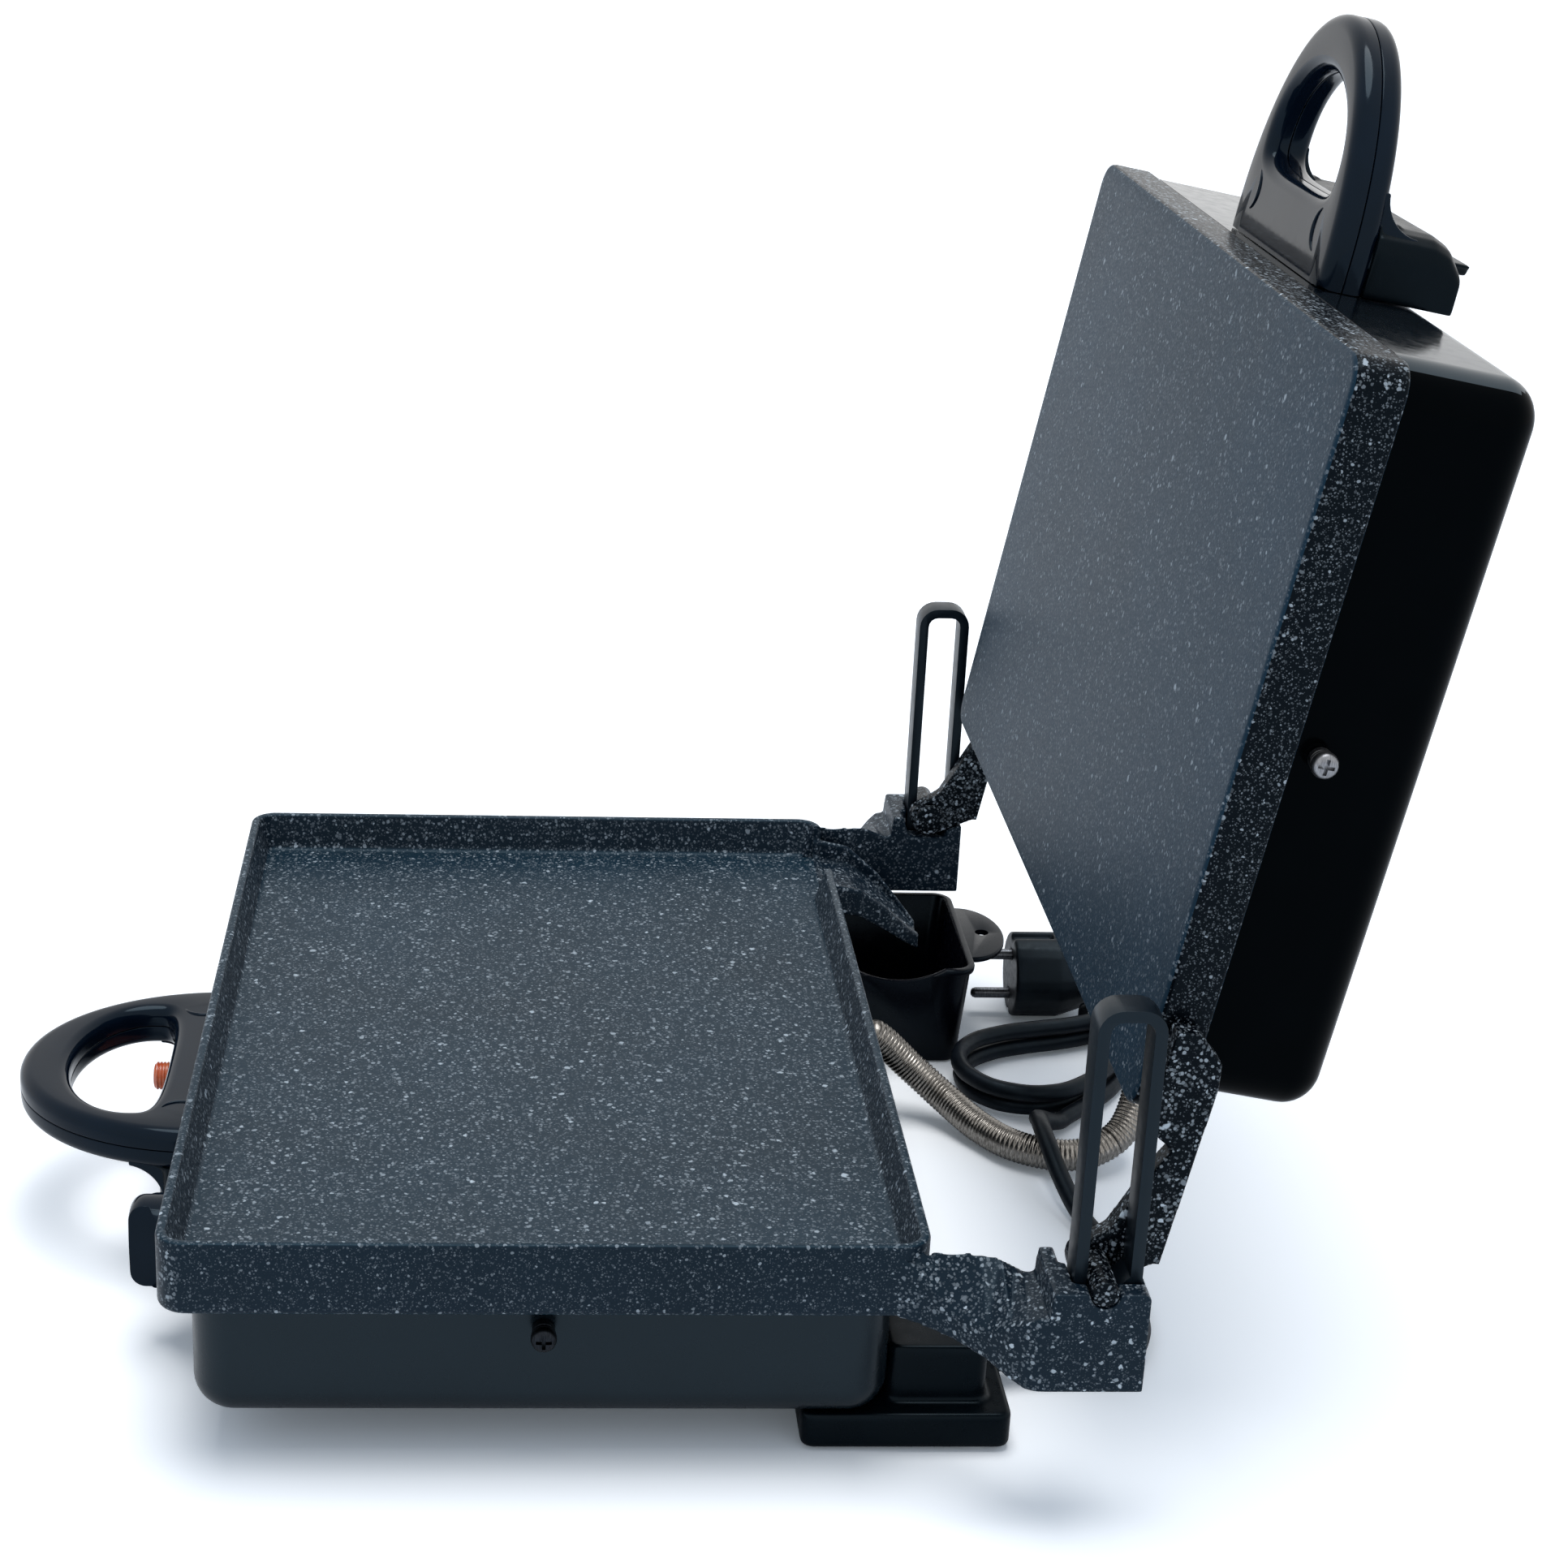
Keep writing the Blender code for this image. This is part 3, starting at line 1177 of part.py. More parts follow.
def make_block_lid(base):
    """Plate that closes the housing from below."""
    wall = REAR_BLOCK_WALL
    width = BLOCK_NEAR_X - REAR_BLOCK_INNER_X - 2 * REAR_BLOCK_CORNER - 2 * wall
    step_front = COVER_HALF_DEPTH + FIT_GAP
    step_depth = REAR_BLOCK_STEP_BACK - step_front
    middle = ((BLOCK_NEAR_X + REAR_BLOCK_INNER_X) / 2 - REAR_BLOCK_CORNER, step_front + step_depth / 2)
    levels = ((FIT_GAP, REAR_BLOCK_FLOOR_GAP), (FIT_GAP, REAR_BLOCK_FLOOR_GAP + wall))
    rings = inset_rings(width, step_depth - 2 * wall, REAR_BLOCK_CORNER, levels, middle)
    place("rear_block_plate", loft(rings), black_plastic(), base)


def make_rear_pads(base):
    """Pads under the back of the rear block and of the far foot."""
    top = REAR_BLOCK_FLOOR_GAP - FIT_GAP
    profile = ((PAD_DIAMETER / 2 - EDGE_ROUND, 0.0), (PAD_DIAMETER / 2, EDGE_ROUND), (PAD_DIAMETER / 2, top))
    spots = (
        (BLOCK_NEAR_X - PAD_INSET, REAR_BLOCK_BACK - PAD_INSET, "rear_pad_near"),
        (FAR_FOOT_X, FAR_FOOT_BACK - PAD_INSET, "rear_pad_far"),
    )
    for x, y, name in spots:
        place(name, turned(profile), rubber(), base, (x, y, 0.0))


def make_far_foot(base):
    """Moulded foot under the far half of the back edge; it reaches behind the shell like the block."""
    depth = FAR_FOOT_BACK - REAR_BLOCK_FRONT
    middle = (FAR_FOOT_X, (FAR_FOOT_BACK + REAR_BLOCK_FRONT) / 2)
    top = COVER_BOTTOM - FIT_GAP
    levels = ((EDGE_ROUND, REAR_BLOCK_FLOOR_GAP), (0.0, REAR_BLOCK_FLOOR_GAP + EDGE_ROUND), (0.0, top))
    place(
        "rear_foot_far", loft(inset_rings(FAR_FOOT_WIDTH, depth, REAR_BLOCK_CORNER, levels, middle)),
        black_plastic(), base,
    )


# Side screws: collar and head outside the shell, nut inside

def make_side_screw(frame, seat, side, names):
    """One screw and its nut on a shell's side wall; seat is the wall's place under the frame."""
    outer = COVER_HALF_WIDTH
    radius = SCREW_DIAMETER / 2
    turn = (0.0, side * math.pi / 2, 0.0)
    collar_start = outer + FIT_GAP
    head = collar_start + COLLAR_LENGTH
    screw = (
        (radius, outer - SCREW_TAIL), (radius, collar_start), (COLLAR_DIAMETER / 2, collar_start),
        (COLLAR_DIAMETER / 2, head - EDGE_ROUND), (SCREW_HEAD_DIAMETER / 2, head),
        (SCREW_HEAD_DIAMETER / 2, head + SCREW_HEAD_LENGTH - EDGE_ROUND * 2),
        (SCREW_HEAD_DIAMETER / 2 - EDGE_ROUND * 2, head + SCREW_HEAD_LENGTH),
    )
    place(names[0], turned(screw, SMALL_SIDES), zinc(), frame, seat, turn)
    nut_end = outer - COVER_SHEET - FIT_GAP
    nut = (
        (nut_bore(radius), nut_end - NUT_LENGTH), (NUT_DIAMETER / 2, nut_end - NUT_LENGTH),
        (NUT_DIAMETER / 2, nut_end), (nut_bore(radius), nut_end),
    )
    place(names[1], turned(nut, 6, True), zinc(), frame, seat, turn)


# Heating elements, clamps and insulation, on the back of a plate at height zero, growing downwards

def element_route():
    """One loop of the element with both tails at the back."""
    half = ELEMENT_WIDTH / 2
    long_half = ELEMENT_LENGTH / 2
    corner = ELEMENT_CORNER
    tail = ELEMENT_TAIL_SPREAD / 2
    route = [(tail, long_half + ELEMENT_TAIL_LENGTH)]
    bend = ELEMENT_TAIL_LENGTH * 0.6
    route += arc_points((tail + bend, long_half + bend), bend, 180, 270, 4)
    route += arc_points((half - corner, long_half - corner), corner, 90, 0, 6)
    route += arc_points((half - corner, corner - long_half), corner, 0, -90, 6)
    route += [(-x, y) for x, y in reversed(route)]
    return route


def make_element(frame, name, seat, flip):
    """A tubular element lying flat against its plate."""
    route = [Vector((x, y * flip, 0.0)) for x, y in element_route()]
    radii = [ELEMENT_DIAMETER / 2] * len(route)
    height = seat[2] - FIT_GAP - ELEMENT_DIAMETER / 2
    place(name, loft(tube_rings(route, radii, ELEMENT_SIDES)), steel(), frame, (seat[0], seat[1], height))


def make_clamp(frame, name, seat):
    """Pressed plate that holds the element against the plate."""
    top = seat[2] - 2 * FIT_GAP - ELEMENT_DIAMETER
    levels = ((EDGE_ROUND, top - CLAMP_SHEET), (0.0, top - CLAMP_SHEET + EDGE_ROUND), (0.0, top))
    rings = inset_rings(CLAMP_WIDTH, CLAMP_LENGTH, CLAMP_CORNER, levels, (seat[0], seat[1]))
    place(name, loft(rings), zinc(), frame)


def make_insulation(frame, name, seat, shell_end, length):
    """Insulation sheet lying on the shell's floor."""
    low = shell_end + COVER_SHEET + FIT_GAP
    width = 2 * (COVER_HALF_WIDTH - INSULATION_MARGIN)
    levels = ((0.0, low), (0.0, low + INSULATION))
    rings = inset_rings(width, length - 2 * INSULATION_MARGIN, COVER_CORNER, levels, (seat[0], seat[1]))
    place(name, loft(rings), mica(), frame)


def make_terminals(frame, name, low_corner):
    """Terminal strip: a block with an open well for each way."""
    high = (low_corner[0] + TERMINAL_LENGTH, low_corner[1] + TERMINAL_WIDTH, low_corner[2] + TERMINAL_HEIGHT)
    strip = place(name, box(low_corner, high), ceramic(), frame)
    pitch = TERMINAL_LENGTH / TERMINAL_WAYS
    for way in range(TERMINAL_WAYS):
        start = low_corner[0] + pitch * way + TERMINAL_WALL
        well = box(
            (start, low_corner[1] + TERMINAL_WALL, low_corner[2] + TERMINAL_HEIGHT / 2),
            (start + pitch - 2 * TERMINAL_WALL, high[1] - TERMINAL_WALL, high[2] + OVERRUN),
        )
        shape_with(strip, well, "DIFFERENCE")


# Conduit

def make_gland(frame, name, location, rotation):
    """Threaded end fitting of the conduit: neck through the shell, hexagon flange and sleeve outside."""
    bore = CONDUIT_BORE / 2
    neck_start = -COVER_SHEET - 2 * FIT_GAP
    flange_end = FIT_GAP + GLAND_LENGTH * 0.4
    end = FIT_GAP + GLAND_LENGTH
    profile = (
        (bore, neck_start), (GLAND_NECK / 2, neck_start), (GLAND_NECK / 2, FIT_GAP), (GLAND_DIAMETER / 2, FIT_GAP),
        (GLAND_DIAMETER / 2, flange_end), (CONDUIT_DIAMETER / 2 + EDGE_ROUND, flange_end + EDGE_ROUND),
        (CONDUIT_DIAMETER / 2 + EDGE_ROUND, end), (bore, end),
    )
    place(name, turned(profile, ROUND_SIDES, True), steel(), frame, location, rotation)


def conduit_start():
    """Face of the base fitting, where the conduit begins."""
    return Vector((GLAND_X_BASE, COVER_HALF_DEPTH + FIT_GAP * 2 + GLAND_LENGTH, GLAND_Z_BASE))


def conduit_end():
    """Face of the lid fitting with the lid open."""
    reach = LID_COVER_START - FIT_GAP * 2 - GLAND_LENGTH
    y, z = lid_point(reach, GLAND_W_LID)
    return Vector((GLAND_X_LID, y, z))


def conduit_route():
    """Smooth route of the whole conduit: out, down to the floor, round and up to the lid."""
    start = conduit_start()
    end = conduit_end()
    down = Vector((0.0, -math.cos(LID_TILT), -math.sin(LID_TILT)))
    points = [start, start + Vector((0.0, CONDUIT_DIAMETER, 0.0))]
    points += [Vector(point) for point in CONDUIT_ROUTE]
    points += [end + down * CONDUIT_DIAMETER, end]
    return smooth_route(points, CONDUIT_RIB_PITCH / 2)


def make_conduit(frame, points, name, faces):
    """A ribbed metal hose with its bore: an outer skin of ribs and a plain inner skin."""
    outer = CONDUIT_DIAMETER / 2
    radii = [outer - CONDUIT_RIB_HEIGHT * (index % 2) for index in range(len(points))]
    for index in (0, 1, -2, -1):
        radii[index] = outer
    rings = tube_rings(points, radii, CONDUIT_SIDES, faces[0], faces[1])
    bore_points = points[:-1:4] + [points[-1]]
    bore_radii = [CONDUIT_BORE / 2] * len(bore_points)
    bore_rings = tube_rings(bore_points, bore_radii, CONDUIT_SIDES, faces[0], faces[1])
    skin = loft(rings + list(reversed(bore_rings)), True)
    return place(name, skin, steel(), frame)


# Drip cup

def make_cup(base):
    """Tapered cup with a lipped rim, a dip in one edge and a hang tab at the back."""
    cup = empty("drip_cup_frame", base, (CUP_X, CUP_Y, 0.0))
    wall = CUP_WALL
    foot = (CUP_FOOT_WIDTH, CUP_FOOT_DEPTH)
    rim = (CUP_RIM_WIDTH - 2 * CUP_LIP, CUP_RIM_DEPTH - 2 * CUP_LIP)

    def size_at(height):
        share = height / CUP_HEIGHT
        return tuple(low + (high - low) * share for low, high in zip(foot, rim))

    def ring(height, grow):
        width, depth = size_at(height)
        outline = rounded_rect(width + 2 * grow, depth + 2 * grow, CUP_CORNER + grow)
        return [(x, y, height) for x, y in outline]

    rings = [
        ring(wall, -wall - EDGE_ROUND), ring(wall + EDGE_ROUND, -wall), ring(CUP_HEIGHT, -wall), ring(CUP_HEIGHT, CUP_LIP),
        ring(CUP_HEIGHT - CUP_LIP_HEIGHT, CUP_LIP), ring(CUP_HEIGHT - CUP_LIP_HEIGHT - EDGE_ROUND, 0.0),
        ring(EDGE_ROUND, 0.0), ring(0.0, -EDGE_ROUND),
    ]
    piece = place("drip_cup", loft(rings), black_plastic(), cup)
    tab_start = CUP_RIM_DEPTH / 2 - CUP_LIP - wall
    outline = [(CUP_TAB_WIDTH / 2, tab_start), (-CUP_TAB_WIDTH / 2, tab_start)]
    hole_y = tab_start + CUP_TAB_LENGTH * 0.55
    root = tab_start + CUP_WALL * 2
    reach = CUP_TAB_LENGTH - CUP_WALL * 2
    for step in range(15):
        angle = math.pi * (1 - step / 14)
        outline.append((CUP_TAB_WIDTH / 2 * math.cos(angle), root + reach * math.sin(angle)))
    tab_top = CUP_HEIGHT - EDGE_ROUND
    shape_with(piece, prism(outline, tab_top - CUP_TAB_THICKNESS, tab_top), "UNION")
    hole = cylinder(
        (0.0, hole_y, tab_top - CUP_TAB_THICKNESS - OVERRUN), (0.0, hole_y, CUP_HEIGHT + OVERRUN), CUP_TAB_HOLE / 2,
    )
    shape_with(piece, hole, "DIFFERENCE")
    dip_radius = (CUP_DIP_WIDTH ** 2 / 4 + CUP_DIP ** 2) / (2 * CUP_DIP)
    middle = CUP_HEIGHT - CUP_DIP + dip_radius
    dip = arc_points((0.0, middle), dip_radius, 250, 290, 12)
    dip += [(CUP_DIP_WIDTH, CUP_HEIGHT + OVERRUN), (-CUP_DIP_WIDTH, CUP_HEIGHT + OVERRUN)]
    side_low = CUP_RIM_WIDTH / 2 - CUP_LIP - 2 * wall
    shape_with(piece, prism(dip, side_low, CUP_RIM_WIDTH / 2 + OVERRUN, "x"), "DIFFERENCE")
    return piece


# Lead: strain relief, free runs, hank, tie and plug

def curve_tube(name, points, frame, resolution):
    """A cord as a curve with a round bevel."""
    data = bpy.data.curves.new(name, "CURVE")
    data.dimensions = "3D"
    data.bevel_depth = CORD_RADIUS
    data.bevel_resolution = resolution
    data.use_fill_caps = True
    data.render_resolution_u = 0
    spline = data.splines.new("POLY")
    spline.points.add(len(points) - 1)
    for spot, point in zip(spline.points, points):
        spot.co = (*point, 1.0)
    data.materials.append(rubber())
    piece = bpy.data.objects.new(name, data)
    piece.parent = frame
    bpy.context.scene.collection.objects.link(piece)
    return piece


def hank_turns():
    return 2 * HANK_LAYER_TURNS


def hank_point(turn):
    """A point of the hank: it winds in on the floor layer and out again on the layer above."""
    inward = HANK_LAYER_TURNS - turn
    radius = HANK_FOLD_RADIUS + HANK_STEP * abs(inward)
    climb = min(max((turn - HANK_LAYER_TURNS + 0.25) / 0.5, 0.0), 1.0)
    climb = climb * climb * (3 - 2 * climb)
    height = FLOOR_GAP + TIE_THICKNESS + TIE_GAP + CORD_RADIUS + HANK_LAYER * climb
    run = HANK_RUN
    share = turn % 1.0
    fold_length = math.pi * radius
    total = 2 * run + 2 * fold_length
    travel = share * total
    if travel < run:
        along = travel
        across = radius
    elif travel < run + fold_length:
        angle = (travel - run) / radius
        along = run + radius * math.sin(angle)
        across = radius * math.cos(angle)
    elif travel < 2 * run + fold_length:
        along = run - (travel - run - fold_length)
        across = -radius
    else:
        angle = (travel - 2 * run - fold_length) / radius
        along = -radius * math.sin(angle)
        across = -radius * math.cos(angle)
    waist = math.sin(math.pi * min(max(along / run, 0.0), 1.0)) ** 2
    across -= math.copysign(HANK_WAIST_DRAW * waist, across)
    axis = Vector((math.cos(HANK_HEADING), math.sin(HANK_HEADING)))
    side = Vector((axis.y, -axis.x))
    spot = Vector(HANK_START) + axis * along + side * across
    return Vector((spot.x, spot.y, height))


def hank_points():
    """The whole winding, with a straight cord's width at each end."""
    count = round(hank_turns() * HANK_POINTS_PER_TURN)
    last = hank_turns() - 0.03
    points = [hank_point(last * index / count) for index in range(count + 1)]
    ahead = (points[0] - points[1]).normalized()
    points.insert(0, points[0] + ahead * CORD_STRAIGHT)
    behind = (points[-1] - points[-2]).normalized()
    points.append(points[-1] + behind * CORD_STRAIGHT)
    return points


def least_self_gap(points):
    """Smallest clear space between runs of the winding that aren't neighbours along it."""
    fine = smooth_route(points, CORD_DIAMETER / 3)[1:-1]
    skip = 6
    least = float("inf")
    for index, point in enumerate(fine):
        for other in fine[index + skip:]:
            least = min(least, (point - other).length)
    return least - CORD_DIAMETER


def plug_rear():
    """Where the lead enters the plug."""
    return Vector((PLUG_X, PLUG_FRONT_Y + PLUG_LENGTH + PLUG_NECK_LENGTH + FIT_GAP, PLUG_DIAMETER / 2 + FLOOR_GAP))


def make_lead(base):
    """The lead's free runs, its hank and the tie round it."""
    winding = hank_points()
    relief_tip = Vector((RELIEF_X, REAR_BLOCK_BACK + RELIEF_LENGTH + 2 * FIT_GAP, RELIEF_Z))
    gap = (winding[0] - winding[1]).normalized() * FIT_GAP
    straight = (winding[0] - winding[1]).normalized() * CORD_STRAIGHT
    run = [relief_tip, relief_tip + Vector((0.0, CORD_STRAIGHT, 0.0))]
    run += [Vector(point) for point in LEAD_ROUTE]
    run += [winding[0] + gap + straight, winding[0] + gap]
    curve_tube("mains_cord", smooth_route(run, CORD_STEP), base, 2)
    curve_tube("cord_hank", winding, base, 1)
    tail_gap = (winding[-1] - winding[-2]).normalized() * FIT_GAP
    rear = plug_rear()
    tail = [winding[-1] + tail_gap, winding[-1] + tail_gap + tail_gap.normalized() * CORD_STRAIGHT]
    tail += [Vector(point) for point in TAIL_ROUTE]
    tail += [rear + Vector((0.0, CORD_STRAIGHT, 0.0)), rear]
    curve_tube("cord_tail", smooth_route(tail, CORD_STEP / 3), base, 2)
    print("hank: least gap to itself", round(least_self_gap(winding) * 1000, 2), "mm")
    make_tie(base)


def make_tie(base):
    """Flat strap round the hank's waist."""
    outer_run = HANK_FOLD_RADIUS + HANK_STEP * HANK_LAYER_TURNS - HANK_WAIST_DRAW
    half = outer_run + CORD_RADIUS + TIE_GAP
    height = CORD_DIAMETER + HANK_LAYER + 2 * TIE_GAP + 2 * TIE_THICKNESS
    width = 2 * (half + TIE_THICKNESS)
    middle = FLOOR_GAP + height / 2
    corner = CORD_RADIUS + TIE_GAP
    outer = rounded_rect(width, height, corner + TIE_THICKNESS)
    inner = rounded_rect(width - 2 * TIE_THICKNESS, height - 2 * TIE_THICKNESS, corner)
    rings = []
    for outline, place_along in (
        (outer, -TIE_WIDTH / 2), (outer, TIE_WIDTH / 2), (inner, TIE_WIDTH / 2), (inner, -TIE_WIDTH / 2),
    ):
        rings.append([(x, place_along, z) for x, z in outline])
    axis = (math.cos(HANK_HEADING), math.sin(HANK_HEADING))
    at = (
        HANK_START[0] + axis[0] * HANK_RUN / 2, HANK_START[1] + axis[1] * HANK_RUN / 2, middle,
    )
    place("cord_tie", loft(rings, True), rubber(), base, at, (0.0, 0.0, HANK_HEADING - math.pi / 2))


def make_relief(base):
    """Tapered rubber strain relief behind the rear block."""
    radius = CORD_RADIUS + FIT_GAP
    start = FIT_GAP
    profile = (
        (radius, start), (RELIEF_DIAMETER / 2 + EDGE_ROUND, start),
        (RELIEF_DIAMETER / 2 + EDGE_ROUND, start + RELIEF_COLLAR), (RELIEF_DIAMETER / 2, start + RELIEF_COLLAR),
        (radius + RELIEF_TIP_WALL, RELIEF_LENGTH), (radius, RELIEF_LENGTH),
    )
    place(
        "cord_relief", turned(profile, SMALL_SIDES, True), rubber(), base,
        (RELIEF_X, REAR_BLOCK_BACK, RELIEF_Z), (-math.pi / 2, 0.0, 0.0),
    )


def make_plug(base):
    """Round two-pin plug with flats and earth grooves, lying on its side, pins to the front."""
    radius = PLUG_DIAMETER / 2
    neck = PLUG_NECK_DIAMETER / 2
    end = PLUG_LENGTH
    profile = (
        (radius - EDGE_ROUND, 0.0), (radius, EDGE_ROUND), (radius, end * 0.55), (radius * 0.80, end * 0.86),
        (neck + 2 * EDGE_ROUND, end), (neck, end + EDGE_ROUND), (CORD_RADIUS + 2 * EDGE_ROUND, end + PLUG_NECK_LENGTH),
    )
    at = (PLUG_X, PLUG_FRONT_Y, radius + FLOOR_GAP)
    body = place("plug_body", turned(profile), rubber(), base, at, (-math.pi / 2, 0.0, 0.0))
    for side in (1, -1):
        low, high = sorted((side * (radius - PLUG_GROOVE / 2), side * (radius + OVERRUN)))
        groove = box((-PLUG_GROOVE / 2, low, -OVERRUN), (PLUG_GROOVE / 2, high, end * 0.5))
        shape_with(body, groove, "DIFFERENCE")
        x = side * PLUG_PIN_SPACING / 2
        seat = cylinder((0.0, x, -OVERRUN), (0.0, x, PLUG_PIN_SEAT + FIT_GAP), PLUG_PIN_DIAMETER / 2 + FIT_GAP)
        shape_with(body, seat, "DIFFERENCE")
    pin = PLUG_PIN_DIAMETER / 2
    pin_profile = (
        (pin - EDGE_ROUND, -PLUG_PIN_LENGTH), (pin, EDGE_ROUND - PLUG_PIN_LENGTH), (pin, PLUG_PIN_SEAT),
    )
    for side, name in ((1, "plug_pin_lower"), (-1, "plug_pin_upper")):
        spot = (PLUG_X, PLUG_FRONT_Y, radius + FLOOR_GAP - side * PLUG_PIN_SPACING / 2)
        place(name, turned(pin_profile, SMALL_SIDES), steel(), base, spot, (-math.pi / 2, 0.0, 0.0))


# Assembly

def make_base(base):
    """Everything that stands on the floor."""
    make_pan(base)
    make_lower_cover(base)
    for side, word in ((1, "near"), (-1, "far")):
        make_loop(base, side, "guide_loop_" + word)
        make_loop_screw(base, side, "loop_screw_" + word)
        names = ("side_screw_" + word, "side_nut_" + word)
        make_side_screw(base, (0.0, 0.0, RIM - SIDE_SCREW_DROP), side, names)
    front = empty(
        "lower_handle_frame", base,
        (0.0, -(COVER_HALF_DEPTH + FIT_GAP), PAN_BOTTOM - HANDLE_OFFSET_LOWER - HANDLE_THICKNESS / 2), (0.0, 0.0, math.pi),
    )
    shell = make_handle(front, HANDLE_REACH_LOWER, "lower", ("lower_handle_top", "lower_handle_bottom"))
    shape_with(shell, pilot_bore(), "DIFFERENCE")
    make_pilot(front)
    make_knob(base)
    make_thermostat(base)
    make_front_feet(base)
    make_rear_block(base)
    make_block_lid(base)
    make_far_foot(base)
    make_rear_pads(base)
    seat = (0.0, 0.0, PAN_UNDERSIDE)
    make_element(base, "lower_element", seat, 1)
    make_clamp(base, "lower_element_clamp", seat)
    make_insulation(base, "lower_insulation", seat, COVER_BOTTOM, 2 * COVER_HALF_DEPTH)
    terminal_y = COVER_HALF_DEPTH + REAR_BLOCK_WALL + 3 * FIT_GAP
    terminal_z = REAR_BLOCK_FLOOR_GAP + REAR_BLOCK_WALL + FIT_GAP
    terminal_x = (BLOCK_NEAR_X + REAR_BLOCK_INNER_X) / 2 - REAR_BLOCK_CORNER - TERMINAL_LENGTH / 2
    make_terminals(base, "terminal_strip", (terminal_x, terminal_y, terminal_z))
    make_gland(
        base, "conduit_gland_base", (GLAND_X_BASE, COVER_HALF_DEPTH, GLAND_Z_BASE), (-math.pi / 2, 0.0, 0.0),
    )


def make_lid(lid):
    """Everything that tilts with the lid."""
    make_lid_plate(lid)
    make_lid_cover(lid)
    seat = lid_seat()
    for side, word in ((1, "near"), (-1, "far")):
        names = ("lid_screw_" + word, "lid_nut_" + word)
        make_side_screw(lid, (0.0, seat[1] + LID_SCREW_U, seat[2] - lid_screw_w()), side, names)
    handle = empty(
        "upper_handle_frame", lid,
        (0.0, seat[1] + lid_cover_front() + FIT_GAP, seat[2] - LID_WALL - HANDLE_OFFSET_UPPER - HANDLE_THICKNESS / 2),
    )
    make_handle(handle, HANDLE_REACH_UPPER, "upper", ("upper_handle_front", "upper_handle_back"))
    back = (0.0, seat[1] + LID_LENGTH / 2, seat[2] - LID_PLATE)
    make_element(lid, "lid_element", back, -1)
    make_clamp(lid, "lid_element_clamp", back)
    make_insulation(lid, "lid_insulation", back, seat[2] - LID_BACK, LID_COVER_LENGTH)
    make_gland(
        lid, "conduit_gland_lid", (GLAND_X_LID, seat[1] + LID_COVER_START, seat[2] - GLAND_W_LID),
        (math.pi / 2, 0.0, 0.0),
    )


def make_conduits(base):
    """The conduit in two lengths that meet near the floor, one for the base and one for the lid."""
    route = conduit_route()
    split = next(index for index, point in enumerate(route) if point.y > CONDUIT_SPLIT_Y)
    meeting = (route[split + 1] - route[split - 1]).normalized()
    out = Vector((0.0, 1.0, 0.0))
    up = (route[-1] - route[-2]).normalized()
    make_conduit(base, route[:split + 1], "conduit_lower", (out, meeting))
    upper = [route[split] + meeting * FIT_GAP] + route[split + 1:]
    make_conduit(base, upper, "conduit_upper", (meeting, up))


def clear_scene():
    """Start from an empty scene."""
    for piece in list(bpy.data.objects):
        bpy.data.objects.remove(piece, do_unlink=True)


def centre_on_floor(base, left_out):
    """Put the origin under the middle of the standing object."""
    bpy.context.view_layer.update()
    graph = bpy.context.evaluated_depsgraph_get()
    depths = []
    for piece in bpy.data.objects:
        if piece.type != "MESH" or piece.hide_render or piece.name in left_out:
            continue
        shaped = piece.evaluated_get(graph)
        mesh = shaped.to_mesh()
        depths += [(piece.matrix_world @ vertex.co).y for vertex in mesh.vertices]
        shaped.to_mesh_clear()
    base.location.y = -(min(depths) + max(depths)) / 2
    print("base frame y", round(base.location.y * 1000, 3), "mm")


def main():
    clear_scene()
    base = empty("base_frame")
    make_base(base)
    make_cup(base)
    make_pin(base, 1, "hinge_pin_near")
    make_pin(base, -1, "hinge_pin_far")
    lid = empty("lid_frame", base, (0.0, PIN_Y, PIN_Z), (LID_TILT, 0.0, 0.0))
    make_lid(lid)
    make_conduits(base)
    make_relief(base)
    make_lead(base)
    make_plug(base)
    cord_pieces = ("mains_cord", "cord_hank", "cord_tail", "cord_tie", "plug_body", "plug_pin_lower", "plug_pin_upper")
    centre_on_floor(base, cord_pieces)


main()
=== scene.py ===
# %% [markdown]
# # Contact grill, standing open
#
# The grill is a cast lower pan on a pressed shell, a lid that floats on two upright guide loops, two loop
# handles, a dial, a loose drip cup and a mains lead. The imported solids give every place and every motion. This
# file dresses them: it gives each solid its finish, and stands softer, finer forms in for the solids that show
# most. The camera, the finishes and a few helpers come first. Then come the lead and the conduit, the castings and
# shells, the mouldings, and last the small parts, the floor and the light.

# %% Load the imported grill
import math

import bmesh
import bpy
from mathutils import Matrix, Vector


